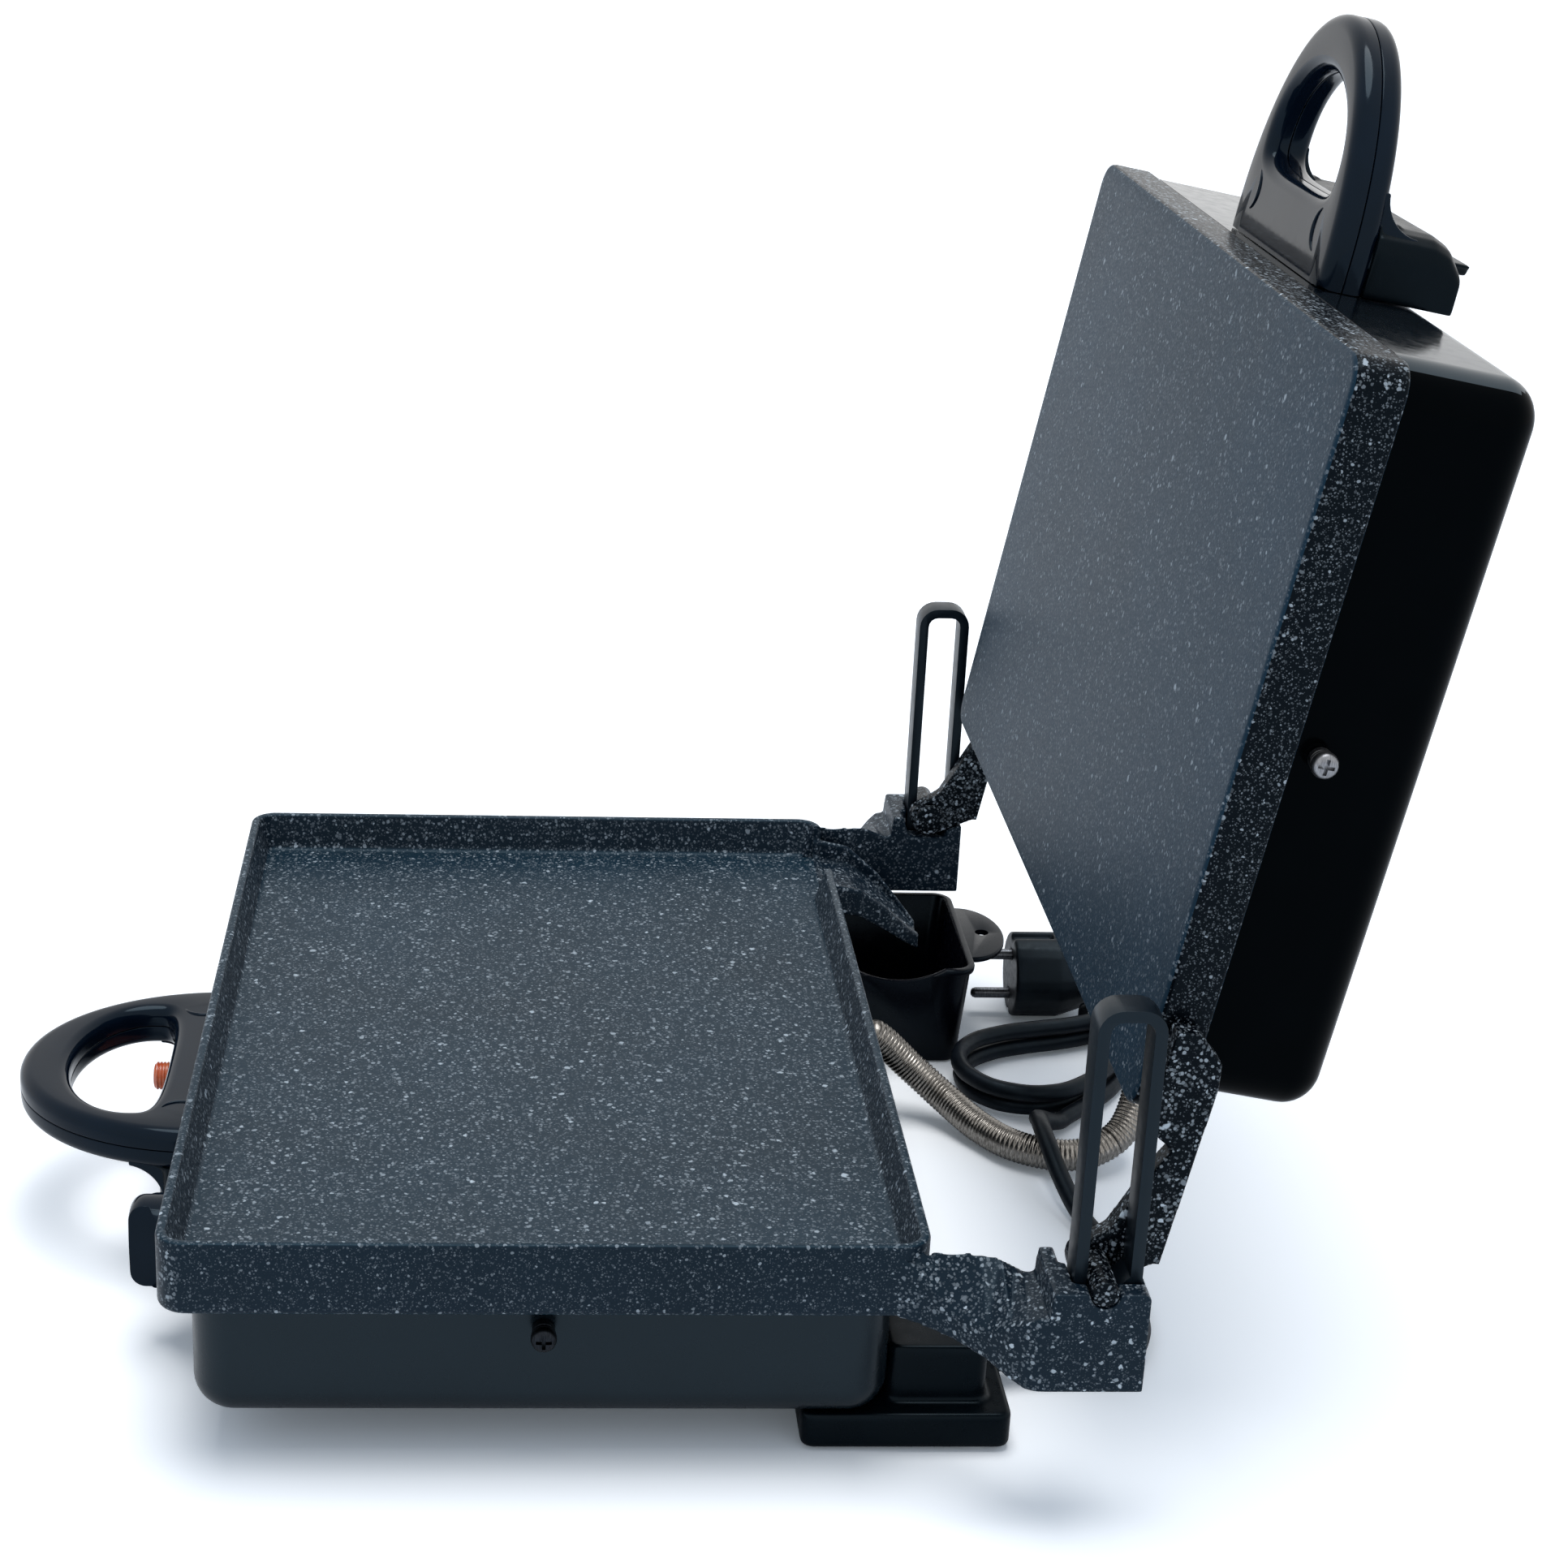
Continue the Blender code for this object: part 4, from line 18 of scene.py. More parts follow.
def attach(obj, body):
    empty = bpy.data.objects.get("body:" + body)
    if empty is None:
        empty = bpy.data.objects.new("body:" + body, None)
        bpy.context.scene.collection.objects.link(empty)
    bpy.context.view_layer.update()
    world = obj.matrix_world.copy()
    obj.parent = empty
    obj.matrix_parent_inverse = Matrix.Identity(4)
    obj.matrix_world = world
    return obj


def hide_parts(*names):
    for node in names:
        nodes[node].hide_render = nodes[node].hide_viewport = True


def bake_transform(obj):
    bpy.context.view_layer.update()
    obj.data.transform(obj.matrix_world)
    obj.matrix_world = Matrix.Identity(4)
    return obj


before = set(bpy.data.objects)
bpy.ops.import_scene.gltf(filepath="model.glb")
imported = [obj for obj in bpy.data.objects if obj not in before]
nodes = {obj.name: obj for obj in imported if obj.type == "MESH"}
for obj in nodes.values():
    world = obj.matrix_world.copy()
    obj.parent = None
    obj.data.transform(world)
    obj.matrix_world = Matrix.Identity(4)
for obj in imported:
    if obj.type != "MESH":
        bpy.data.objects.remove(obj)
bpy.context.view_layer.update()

# %% [markdown]
# ## Where things are
#
# The grill is drawn round the middle of its pan, and then shifted back along Y so that the whole standing object
# is centred. The same shift is written here once, and every place below is measured from the pan's middle.

# %% Places shared by the pieces
PAN_SHIFT = -0.053324
RIM = 0.088
PAN_WIDTH = 0.369
PAN_DEPTH = 0.249
PAN_CORNER = 0.010
PIN_Y = 0.1740
PIN_Z = 0.0884
LID_TILT = math.radians(79.6)
LID_SETBACK = 0.0491
LID_LENGTH = 0.2465
LID_WALL = 0.017
COVER_HALF_WIDTH = 0.174
COVER_HALF_DEPTH = 0.1153
COVER_BOTTOM = 0.015
CORD_DIAMETER = 0.0072
CLEAR = 0.0003
QUARTER_TURN = math.pi / 2


def at(x, y, z):
    """A place measured from the pan's middle, in the shared frame."""
    return Vector((x, y + PAN_SHIFT, z))


def linked(name, data):
    """A new object in the scene, with its mesh, curve, camera or lamp."""
    made = bpy.data.objects.new(name, data)
    bpy.context.scene.collection.objects.link(made)
    return made


# The lid's own frame: x across, y along the face from the hinge pin, z out of the face.
lid_frame = Matrix.Translation(at(0.0, PIN_Y, PIN_Z)) @ Matrix.Rotation(LID_TILT, 4, "X")
print("lid frame", [round(v, 4) for v in lid_frame.translation])

# %% [markdown]
# ## Camera
#
# The camera's place, turn and focal length were fitted to the corners of the pan and of the lid in the photograph.
# The small shift keeps the picture's middle where it was, so the render can be laid over the photograph.

# %% Camera
PICTURE = 1932
PICTURE_AIM = (800, 944)
FOCAL_PIXELS = 3443.13
SENSOR = 36.0
CAMERA_PLACE = (0.96099, -0.01562, 0.54573)
CAMERA_YAW = 0.05590189
CAMERA_PITCH = 0.36164036
CAMERA_ROLL = 0.03300456

view = Vector((
    -math.cos(CAMERA_YAW) * math.cos(CAMERA_PITCH), math.sin(CAMERA_YAW) * math.cos(CAMERA_PITCH),
    -math.sin(CAMERA_PITCH),
))
right = Vector((math.sin(CAMERA_YAW), math.cos(CAMERA_YAW), 0.0))
up = right.cross(view)
right_rolled = right * math.cos(CAMERA_ROLL) + up * math.sin(CAMERA_ROLL)
up_rolled = up * math.cos(CAMERA_ROLL) - right * math.sin(CAMERA_ROLL)

lens = bpy.data.cameras.new("grill_camera")
lens.sensor_width = SENSOR
lens.lens = FOCAL_PIXELS / PICTURE * SENSOR
lens.shift_x = (PICTURE / 2 - PICTURE_AIM[0]) / PICTURE
lens.shift_y = (PICTURE_AIM[1] - PICTURE / 2) / PICTURE
camera = linked("grill_camera", lens)
turn = Matrix((right_rolled, up_rolled, -view)).transposed().to_4x4()
camera.matrix_world = Matrix.Translation(at(*CAMERA_PLACE)) @ turn
bpy.context.scene.camera = camera
bpy.context.scene.view_settings.view_transform = "Standard"
print("lens", round(lens.lens, 2), "mm")

# %% [markdown]
# ## Materials: how the helpers work
#
# Every finish here is a Principled shader with some procedural nodes in front of it. Pieces keep their vertices in
# the shared frame, so object coordinates are metres and a pattern has its real size on any piece. A small wrapper
# makes and links the nodes, so that a finish reads like a recipe. The floor and the background use it as well.

# %% A tree of nodes
WHITE = (1.0, 1.0, 1.0, 1.0)
# Specular tint of every finish but the metals: a painted blue reflection, which puts the blue of the studio's light
# into the surfaces' own reflections.
PAINTED_BLUE_REFLECTION = (0.60, 0.83, 1.0, 1.0)


class Recipe:
    """Makes the nodes of one tree and links them."""

    def __init__(self, tree):
        self.tree = tree

    def node(self, kind, **inputs):
        made = self.tree.nodes.new(kind)
        for name, value in inputs.items():
            self.feed(made.inputs[name.replace("_", " ")], value)
        return made

    def feed(self, socket, value):
        if isinstance(value, bpy.types.NodeSocket):
            self.tree.links.new(value, socket)
        else:
            socket.default_value = value

    def maths(self, operation, one, two=0.0, clamp=False):
        made = self.tree.nodes.new("ShaderNodeMath")
        made.operation = operation
        made.use_clamp = clamp
        self.feed(made.inputs[0], one)
        self.feed(made.inputs[1], two)
        return made.outputs[0]

    def blend(self, share, one, two):
        made = self.tree.nodes.new("ShaderNodeMix")
        made.data_type = "RGBA"
        for socket, value in (("Factor", share), ("A", one), ("B", two)):
            self.feed(made.inputs[socket], value)
        return made.outputs["Result"]


# %% A finish
COAT_ROUGHNESS = 0.08


class Finish(Recipe):
    """A node material that is written as a short recipe."""

    def __init__(self, name, roughness, metallic=0.0, coat=0.0, specular=0.5, tint=PAINTED_BLUE_REFLECTION):
        self.material = bpy.data.materials.new(name)
        self.material.use_nodes = True
        super().__init__(self.material.node_tree)
        self.shader = self.tree.nodes["Principled BSDF"]
        for socket, value in (
            ("Roughness", roughness), ("Metallic", metallic), ("Coat Weight", coat), ("Specular Tint", tint),
            ("Coat Roughness", COAT_ROUGHNESS), ("Specular IOR Level", specular),
        ):
            self.feed(self.shader.inputs[socket], value)
        self.place = self.node("ShaderNodeTexCoord").outputs["Object"]

    def noise(self, scale, detail=3.0, place=None):
        made = self.node("ShaderNodeTexNoise", Scale=scale, Detail=detail)
        self.feed(made.inputs["Vector"], place or self.place)
        return made.outputs["Fac"]

    def cells(self, scale, place=None):
        made = self.node("ShaderNodeTexVoronoi", Scale=scale)
        self.feed(made.inputs["Vector"], place or self.place)
        return made

    def remap(self, value, low, high, start=0.0, end=1.0):
        made = self.tree.nodes.new("ShaderNodeMapRange")
        for name, number in (("From Min", low), ("From Max", high), ("To Min", start), ("To Max", end)):
            made.inputs[name].default_value = number
        self.feed(made.inputs["Value"], value)
        return made.outputs["Result"]

    def scaled(self, colour, factor):
        made = self.tree.nodes.new("ShaderNodeVectorMath")
        made.operation = "SCALE"
        self.feed(made.inputs[0], colour[:3])
        self.feed(made.inputs["Scale"], factor)
        return made.outputs["Vector"]

    def bump(self, height, distance, strength=1.0):
        made = self.node("ShaderNodeBump", Height=height, Distance=distance, Strength=strength)
        self.feed(self.shader.inputs["Normal"], made.outputs["Normal"])

    def colour(self, value):
        self.feed(self.shader.inputs["Base Color"], value)

    def rough(self, pattern, roughness, less, more):
        self.feed(self.shader.inputs["Roughness"], self.remap(pattern, 0.3, 0.7, roughness - less, roughness + more))


def rgb(red, green, blue):
    """A colour as written in a picture editor, 0 to 255, turned to the linear values that shaders use."""
    def linear(value):
        share = value / 255
        return share / 12.92 if share <= 0.04045 else ((share + 0.055) / 1.055) ** 2.4
    return (linear(red), linear(green), linear(blue), 1.0)


# %% [markdown]
# ## Stone-effect coating
#
# The cast plates are sprayed with a dark blue-grey non-stick coating that is full of pale flecks: many as small as
# a grain of salt, some the size of a crumb, a few larger and drawn out. Cells of a Voronoi pattern give each fleck
# a middle and two random numbers. One number says whether the cell has a fleck and how large, the other how pale
# it is. Four cell sizes on top of each other give the mix. Noise bends the coordinates first, so no fleck is round.

# %% One size of flecks
FLECK_EDGE = 9.0
DULLEST_SHARE = 0.25


def fleck_layer(finish, place, scale, share, size, palest):
    """Flecks of one cell size: share of the cells that have one, size in cells, and the palest value."""
    cells = finish.cells(scale, place)
    split = finish.node("ShaderNodeSeparateColor", Color=cells.outputs["Color"])
    chosen = finish.remap(split.outputs["Red"], 1.0 - share, 1.0)
    radius = finish.maths("MULTIPLY", chosen, size)
    inside = finish.maths("SUBTRACT", radius, cells.outputs["Distance"])
    edge = finish.maths("MULTIPLY", inside, FLECK_EDGE, True)
    pale = finish.remap(split.outputs["Green"], 0.0, 1.0, palest * DULLEST_SHARE, palest)
    return finish.maths("MULTIPLY", edge, pale)


def bent_place(finish, amount):
    """Coordinates pushed about by fine noise, so that flecks get ragged outlines."""
    push = finish.node("ShaderNodeTexNoise", Scale=520.0, Detail=2.0, Vector=finish.place)
    shift = finish.tree.nodes.new("ShaderNodeVectorMath")
    shift.operation = "MULTIPLY_ADD"
    finish.feed(shift.inputs[0], push.outputs["Color"])
    shift.inputs[1].default_value = (amount, amount, amount)
    finish.feed(shift.inputs[2], finish.place)
    return shift.outputs["Vector"]


# %% Stone-effect coating
FLECK_COLOUR = (0.66, 0.76, 0.84, 1.0)
RAGGED = {"slightly": 0.0007, "strongly": 0.0022}
# How ragged, cells in a metre, share of cells with a fleck, size in cells, palest value
FLECK_SIZES = (
    ("slightly", 1100.0, 0.80, 0.70, 0.20),
    ("slightly", 700.0, 0.46, 0.62, 0.50),
    ("strongly", 380.0, 0.24, 0.44, 0.85),
    ("strongly", 170.0, 0.10, 0.29, 1.00),
)


def stone_coating(name, base, roughness, brightness, crowd, shine=0.2):
    """Dark coating with four sizes of flecks; crowd says how many of the cells have one."""
    finish = Finish(name, roughness, specular=shine)
    places = {word: bent_place(finish, amount) for word, amount in RAGGED.items()}
    flecks = 0.0
    for ragged, scale, share, size, palest in FLECK_SIZES:
        layer = fleck_layer(finish, places[ragged], scale, share * crowd, size, palest * brightness)
        flecks = finish.maths("MAXIMUM", layer, flecks)
    cloud = finish.remap(finish.noise(14.0, 4.0), 0.3, 0.7, 0.85, 1.15)
    finish.colour(finish.blend(flecks, finish.scaled(base, cloud), FLECK_COLOUR))
    finish.rough(finish.noise(900.0, 2.0), roughness, 0.05, 0.07)
    grain = finish.maths("ADD", finish.noise(1500.0, 3.0), finish.maths("MULTIPLY", flecks, 0.6))
    finish.bump(grain, 0.00010, 0.55)
    return finish.material


pan_coating = stone_coating("pan_stone_coating", rgb(12, 36, 50), 0.42, 0.8, 1.0)
lid_coating = stone_coating("lid_stone_coating", rgb(8, 38, 56), 0.46, 0.5, 0.8)
print("coatings", pan_coating.name, lid_coating.name)

# %% [markdown]
# ## Enamel, mouldings, rubber and metal
#
# The pressed shells are gloss black enamel with the faint waviness of sprayed paint. The handles, dial and cup are
# injection moulded: gloss, slightly softer on broad faces. Rubber is matt and grey with dust. Bare metal parts are
# small, so fine stretched noise is enough to read as drawn steel or zinc plate.

# %% Enamel and mouldings


def sprayed_black(name, base, roughness, specular, wave=0.00004):
    """Near-black paint or plastic, a little cloudy and wavy."""
    finish = Finish(name, roughness, specular=specular)
    finish.colour(finish.scaled(base, finish.remap(finish.noise(60.0, 5.0), 0.35, 0.75, 0.9, 1.25)))
    finish.rough(finish.noise(220.0, 3.0), roughness, 0.03, 0.05)
    finish.bump(finish.noise(260.0, 2.0), wave, 0.6)
    return finish.material


shell_enamel = sprayed_black("shell_enamel", rgb(5, 13, 19), 0.24, 0.38)
# The lid shell is the same gloss black enamel as the lower shell, in two copies: its sides get a near-black base and
# almost no reflection, which is painted shade, and its end faces get a paler base and a strong reflection, which is
# painted highlight.
shaded_lid_shell_enamel = sprayed_black("shaded_lid_shell_enamel", rgb(2, 3, 4), 0.12, 0.025)
lit_lid_end_enamel = sprayed_black("lit_lid_end_enamel", rgb(8, 13, 18), 0.12, 0.8, 0.00001)
loop_enamel = sprayed_black("loop_enamel", rgb(10, 17, 24), 0.32, 0.3)
# The handles' and dial's black plastic is tinted blue: the black is their own, the blue is painted reflection of the
# studio's bluish light.
blue_sheen_handle_plastic = sprayed_black("blue_sheen_handle_plastic", rgb(7, 17, 30), 0.10, 0.17, 0.00002)
block_plastic = sprayed_black("block_plastic", rgb(3, 8, 13), 0.28, 0.12, 0.00003)
cup_plastic = sprayed_black("cup_plastic", rgb(3, 4, 12), 0.24, 0.16)
print("mouldings", blue_sheen_handle_plastic.name, cup_plastic.name)

# %% Rubber and metal


def rubber_skin(name, base, roughness):
    """Matt rubber with patches of dust."""
    finish = Finish(name, roughness, specular=0.2)
    dusty = (*(value * 2.2 for value in base[:3]), 1.0)
    finish.colour(finish.blend(finish.remap(finish.noise(90.0, 6.0), 0.45, 0.8), base, dusty))
    finish.rough(finish.noise(400.0, 3.0), roughness, 0.06, 0.08)
    finish.bump(finish.noise(1800.0, 2.0), 0.00005, 0.5)
    return finish.material


def drawn_metal(name, base, roughness, warm):
    """Metal with streaks across, from the die or from rolling."""
    finish = Finish(name, roughness, metallic=1.0, tint=WHITE)
    stretch = finish.node("ShaderNodeMapping", Vector=finish.place, Scale=(1.0, 6.0, 1.0))
    streaks = finish.noise(500.0, 4.0, stretch.outputs["Vector"])
    finish.colour(finish.blend(finish.remap(streaks, 0.3, 0.75), base, warm))
    finish.rough(streaks, roughness, 0.05, 0.1)
    finish.bump(streaks, 0.00003, 0.5)
    return finish.material


lead_rubber = rubber_skin("lead_rubber", rgb(11, 15, 21), 0.42)
plug_rubber = rubber_skin("plug_rubber", rgb(11, 15, 20), 0.40)
foot_rubber = rubber_skin("foot_rubber", rgb(26, 28, 30), 0.60)
conduit_metal = drawn_metal("conduit_metal", rgb(172, 168, 162), 0.26, rgb(84, 80, 76))
zinc_metal = drawn_metal("zinc_metal", rgb(160, 162, 166), 0.34, rgb(110, 112, 118))
dark_screw_metal = drawn_metal("dark_screw_metal", rgb(46, 50, 56), 0.34, rgb(24, 27, 31))
pin_metal = drawn_metal("pin_metal", rgb(120, 124, 130), 0.32, rgb(70, 74, 80))
print("metals", conduit_metal.name, zinc_metal.name)

# %% Inner pieces and the lamp


def speckled(name, base, spots, roughness):
    """Pale mineral stuff with soft spots."""
    finish = Finish(name, roughness)
    finish.colour(finish.blend(finish.remap(finish.noise(240.0, 5.0), 0.45, 0.7), base, spots))
    finish.bump(finish.noise(700.0, 3.0), 0.00008, 0.5)
    return finish.material


ceramic_white = speckled("ceramic_white", rgb(222, 220, 212), rgb(200, 196, 186), 0.5)
mica_sheet = speckled("mica_sheet", rgb(204, 194, 172), rgb(170, 158, 132), 0.7)
amber = Finish("amber_lens", 0.16, coat=0.4)
amber.colour(amber.blend(amber.remap(amber.noise(160.0, 2.0), 0.3, 0.7), rgb(240, 138, 92), rgb(212, 92, 52)))
amber.shader.inputs["Transmission Weight"].default_value = 0.12
amber.bump(amber.noise(600.0, 2.0), 0.00004, 0.4)
print("lens", amber.material.name)

# %% [markdown]
# ## From a list of rings to a piece
#
# Most forms here are lofts: the same outline at several heights, larger or smaller each time. A rounded edge is a
# quarter circle of such steps, so it catches a highlight like a real one. The next helpers make outlines, skins
# and finished pieces. Every piece but the two halves of the conduit rides on a body of the imported model, and
# says which solids it stands for.

# %% Outlines and skins


def rounded_rect(width, depth, radius, steps=12):
    """Points of a rectangle with round corners, counter-clockwise."""
    radius = max(radius, 0.0004)
    points = []
    for corner, (across, along) in enumerate(((1, 1), (-1, 1), (-1, -1), (1, -1))):
        for step in range(steps + 1):
            angle = math.pi / 2 * (corner + step / steps)
            x = across * (width / 2 - radius) + radius * math.cos(angle)
            y = along * (depth / 2 - radius) + radius * math.sin(angle)
            points.append((x, y))
    return points


def skin(rings, closed=False):
    """Faces between rings of equal length; flat caps unless the rings close on themselves."""
    work = bmesh.new()
    grid = [[work.verts.new(point) for point in ring] for ring in rings]
    pairs = list(zip(grid, grid[1:])) + ([(grid[-1], grid[0])] if closed else [])
    for one, two in pairs:
        for index in range(len(one)):
            after = (index + 1) % len(one)
            work.faces.new((one[index], one[after], two[after], two[index]))
    if not closed:
        work.faces.new(list(reversed(grid[0])))
        work.faces.new(grid[-1])
    bmesh.ops.recalc_face_normals(work, faces=work.faces)
    mesh = bpy.data.meshes.new("skin")
    work.to_mesh(mesh)
    work.free()
    return mesh


def stepped(width, depth, radius, levels, middle=(0.0, 0.0)):
    """Rings of a rounded rectangle, one for each (inset, height)."""
    rings = []
    for inset, height in levels:
        outline = rounded_rect(width - 2 * inset, depth - 2 * inset, radius - inset)
        rings.append([(x + middle[0], y + middle[1], height) for x, y in outline])
    return rings


def quarter(inset, height, radius, start, end, steps=6):
    """(inset, height) pairs on an arc round a middle, angles in degrees, for a rounded edge."""
    pairs = []
    for step in range(steps + 1):
        angle = math.radians(start + (end - start) * step / steps)
        pairs.append((inset + radius * math.cos(angle), height + radius * math.sin(angle)))
    return pairs


def turned(profile, sides=48, closed=False):
    """A (radius, height) profile turned round Z."""
    rings = []
    for radius, height in profile:
        angles = [2 * math.pi * side / sides for side in range(sides)]
        rings.append([(radius * math.cos(angle), radius * math.sin(angle), height) for angle in angles])
    return skin(rings, closed)


# %% A finished piece


def add_piece(name, mesh, material, body, stands_for=(), angle=40):
    """Link a mesh that is in place, smooth it, and let it ride on a body; a (body, body, start, end) only fixes it in
    place, riding on no body.
    """
    mesh.materials.clear()
    mesh.materials.append(material)
    mesh.shade_smooth()
    mesh.set_sharp_from_angle(angle=math.radians(angle))
    piece = linked(name, mesh)
    if isinstance(body, str):
        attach(piece, body)
    else:
        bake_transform(piece)
    if stands_for:
        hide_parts(*stands_for)
    return piece


def box_mesh(low, high):
    """A box between two corners, for cutting."""
    outline = [(low[0], low[1]), (high[0], low[1]), (high[0], high[1]), (low[0], high[1])]
    return skin([[(x, y, low[2]) for x, y in outline], [(x, y, high[2]) for x, y in outline]])


def worked(mesh, *changes):
    """Run modifiers on a mesh and give back the result as a new mesh. Each change is (kind, settings)."""
    carrier = linked("carrier", mesh)
    helpers = []
    for kind, settings in changes:
        change = carrier.modifiers.new(kind, kind)
        for key, value in settings.items():
            if isinstance(value, bpy.types.Mesh):
                value = linked("helper", value)
                helpers.append(value)
            setattr(change, key, value)
    graph = bpy.context.evaluated_depsgraph_get()
    result = bpy.data.meshes.new_from_object(carrier.evaluated_get(graph))
    for thing in [carrier] + helpers:
        bpy.data.objects.remove(thing)
    return result


def cut(mesh, tool):
    """A mesh with a tool cut out of it."""
    return worked(mesh, ("BOOLEAN", {"operation": "DIFFERENCE", "solver": "EXACT", "object": tool}))


def bevelled(mesh, width, angle, segments=3):
    """A mesh with its edges broken where faces meet at more than an angle in degrees."""
    limit = {"limit_method": "ANGLE", "angle_limit": math.radians(angle)}
    return worked(mesh, ("BEVEL", {"width": width, "segments": segments, **limit}))


WELD = 0.00001


def solid_copy(node):
    """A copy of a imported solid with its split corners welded, so that it has a surface again."""
    work = bmesh.new()
    work.from_mesh(nodes[node].data)
    bmesh.ops.remove_doubles(work, verts=work.verts, dist=WELD)
    mesh = bpy.data.meshes.new(node + "_copy")
    work.to_mesh(mesh)
    work.free()
    return mesh


# %% [markdown]
# ## Two ways to soften a solid
#
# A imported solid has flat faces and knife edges. A moulding or a casting has neither. Where the shape is complex,
# a voxel remesh gives it an even skin, and a few passes of smoothing round each edge and fill each inner corner,
# as a mould maker's radius does. Where a part is made of flat bars and turned faces, a bevel keeps the faces true
# and rounds only the edges.

# %% Softened and eased copies


def softened(node, voxel, passes, space=Matrix.Identity(4), only=None):
    """A solid's voxel skin, smoothed, made in a frame where its faces lie square. only is a box to keep."""
    mesh = solid_copy(node)
    mesh.transform(space.inverted())
    changes = []
    if only:
        changes.append(("BOOLEAN", {"operation": "INTERSECT", "solver": "EXACT", "object": box_mesh(*only)}))
    changes.append(("REMESH", {"mode": "VOXEL", "voxel_size": voxel}))
    changes.append(("SMOOTH", {"factor": 0.5, "iterations": passes}))
    mesh = worked(mesh, *changes)
    mesh.transform(space)
    return mesh


def eased(node, width):
    """A solid with its flat faces in one piece each and its edges bevelled."""
    mesh = solid_copy(node)
    work = bmesh.new()
    work.from_mesh(mesh)
    bmesh.ops.dissolve_limit(work, angle_limit=math.radians(2), verts=work.verts, edges=work.edges)
    work.to_mesh(mesh)
    work.free()
    return bevelled(mesh, width, 32)


# %% [markdown]
# ## The lead
#
# The mains lead leaves the rear block through a tapered strain relief, drops to the floor, passes over the metal
# conduit in a low hump and goes into its hank. The hank is wound flat in long turns, inwards on the floor and
# outwards again on top, and a strap holds its waist. The end rises into the plug, which lies on its side beside
# the cup. One curve carries the whole length, through the same points as the solids.

# %% Route of the lead
LEAD_POINTS = (
    (0.124, 0.1985, 0.0090), (0.116, 0.2095, 0.0055), (0.101, 0.2165, 0.0037), (0.080, 0.2190, 0.0037),
    (0.058, 0.2185, 0.0037), (0.036, 0.2150, 0.0037), (0.014, 0.2090, 0.0060), (-0.006, 0.2040, 0.0140),
    (-0.026, 0.2020, 0.0195), (-0.044, 0.2040, 0.0135), (-0.058, 0.2110, 0.0060),
)
TAIL_POINT = (-0.1775, 0.2745, 0.0165)
RELIEF_TIP = (0.125, 0.1846, 0.012)
PLUG_REAR = (-0.172, 0.2643, 0.0191)
STRAIGHT = 0.0075
RUN_STEP = 0.018
TAIL_STEP = 0.010
CURVE_STEPS = 24


def spaced(points, step):
    """Points at an even step along a line of points."""
    lengths = [0.0]
    for one, two in zip(points, points[1:]):
        lengths.append(lengths[-1] + (two - one).length)
    count = max(2, round(lengths[-1] / step))
    even, index = [], 0
    for number in range(count + 1):
        target = lengths[-1] * number / count
        while index < len(points) - 2 and lengths[index + 1] < target:
            index += 1
        share = (target - lengths[index]) / (lengths[index + 1] - lengths[index])
        even.append(points[index].lerp(points[index + 1], share))
    return even


def even_route(points, step):
    """Even points on a smooth curve through the given ones; the first and last runs stay straight."""
    ends = [Vector(point) for point in points]
    fine = []
    for before, here, there, after in zip(ends, ends[1:], ends[2:], ends[3:]):
        for index in range(CURVE_STEPS):
            t = index / CURVE_STEPS
            bend = (-before + 3 * here - 3 * there + after) * t ** 3
            bend += (2 * before - 5 * here + 4 * there - after) * t ** 2
            bend += (there - before) * t
            fine.append(here + bend / 2)
    fine.append(ends[-2])
    return [ends[0], *spaced(fine, step), ends[-1]]


# %% Turns of the hank
HANK_START = (-0.096, 0.207)
HANK_HEADING = math.radians(125.0)
HANK_RUN = 0.120
HANK_TURNS = 2.5
HANK_STEPS = 60
HANK_SHORT = 0.03
HANK_INNER = 0.0225
HANK_SPREAD = 0.0085
HANK_CLIMB = 0.5
HANK_LAYER = 0.0079
HANK_WAIST = 0.0145
STRAP_UNDER = 0.0015


def hank_point(turn):
    """A point of the hank's centre line, a number of turns after its outer start on the floor."""
    radius = HANK_INNER + HANK_SPREAD * abs(HANK_TURNS / 2 - turn)
    climb = min(max((turn - HANK_TURNS / 2 + HANK_CLIMB / 2) / HANK_CLIMB, 0.0), 1.0)
    height = STRAP_UNDER + CORD_DIAMETER / 2 + HANK_LAYER * climb * climb * (3 - 2 * climb)
    fold = math.pi * radius
    travel = (turn % 1.0) * (2 * HANK_RUN + 2 * fold)
    if travel < HANK_RUN:
        along, across = travel, radius
    elif travel < HANK_RUN + fold:
        angle = (travel - HANK_RUN) / radius
        along, across = HANK_RUN + radius * math.sin(angle), radius * math.cos(angle)
    elif travel < 2 * HANK_RUN + fold:
        along, across = 2 * HANK_RUN + fold - travel, -radius
    else:
        angle = (travel - 2 * HANK_RUN - fold) / radius
        along, across = -radius * math.sin(angle), -radius * math.cos(angle)
    waist = math.sin(math.pi * min(max(along / HANK_RUN, 0.0), 1.0)) ** 2
    across -= math.copysign(HANK_WAIST * waist, across)
    axis = Vector((math.cos(HANK_HEADING), math.sin(HANK_HEADING)))
    spot = Vector(HANK_START) + axis * along + Vector((axis.y, -axis.x)) * across
    return Vector((spot.x, spot.y, height))


winding = [hank_point((HANK_TURNS - HANK_SHORT) * index / HANK_STEPS) for index in range(HANK_STEPS + 1)]
into = (winding[0] - winding[1]).normalized() * STRAIGHT
away = (winding[-1] - winding[-2]).normalized() * STRAIGHT
tip = Vector(RELIEF_TIP)
rear = Vector(PLUG_REAR)
straight = Vector((0.0, STRAIGHT, 0.0))
run = [tip, tip + straight, *LEAD_POINTS, winding[0] + 2 * into, winding[0] + into]
tail = [winding[-1] + away, winding[-1] + 2 * away, TAIL_POINT, rear + straight, rear]
route = even_route(run, RUN_STEP) + winding + even_route(tail, TAIL_STEP)
print("lead points", len(route))

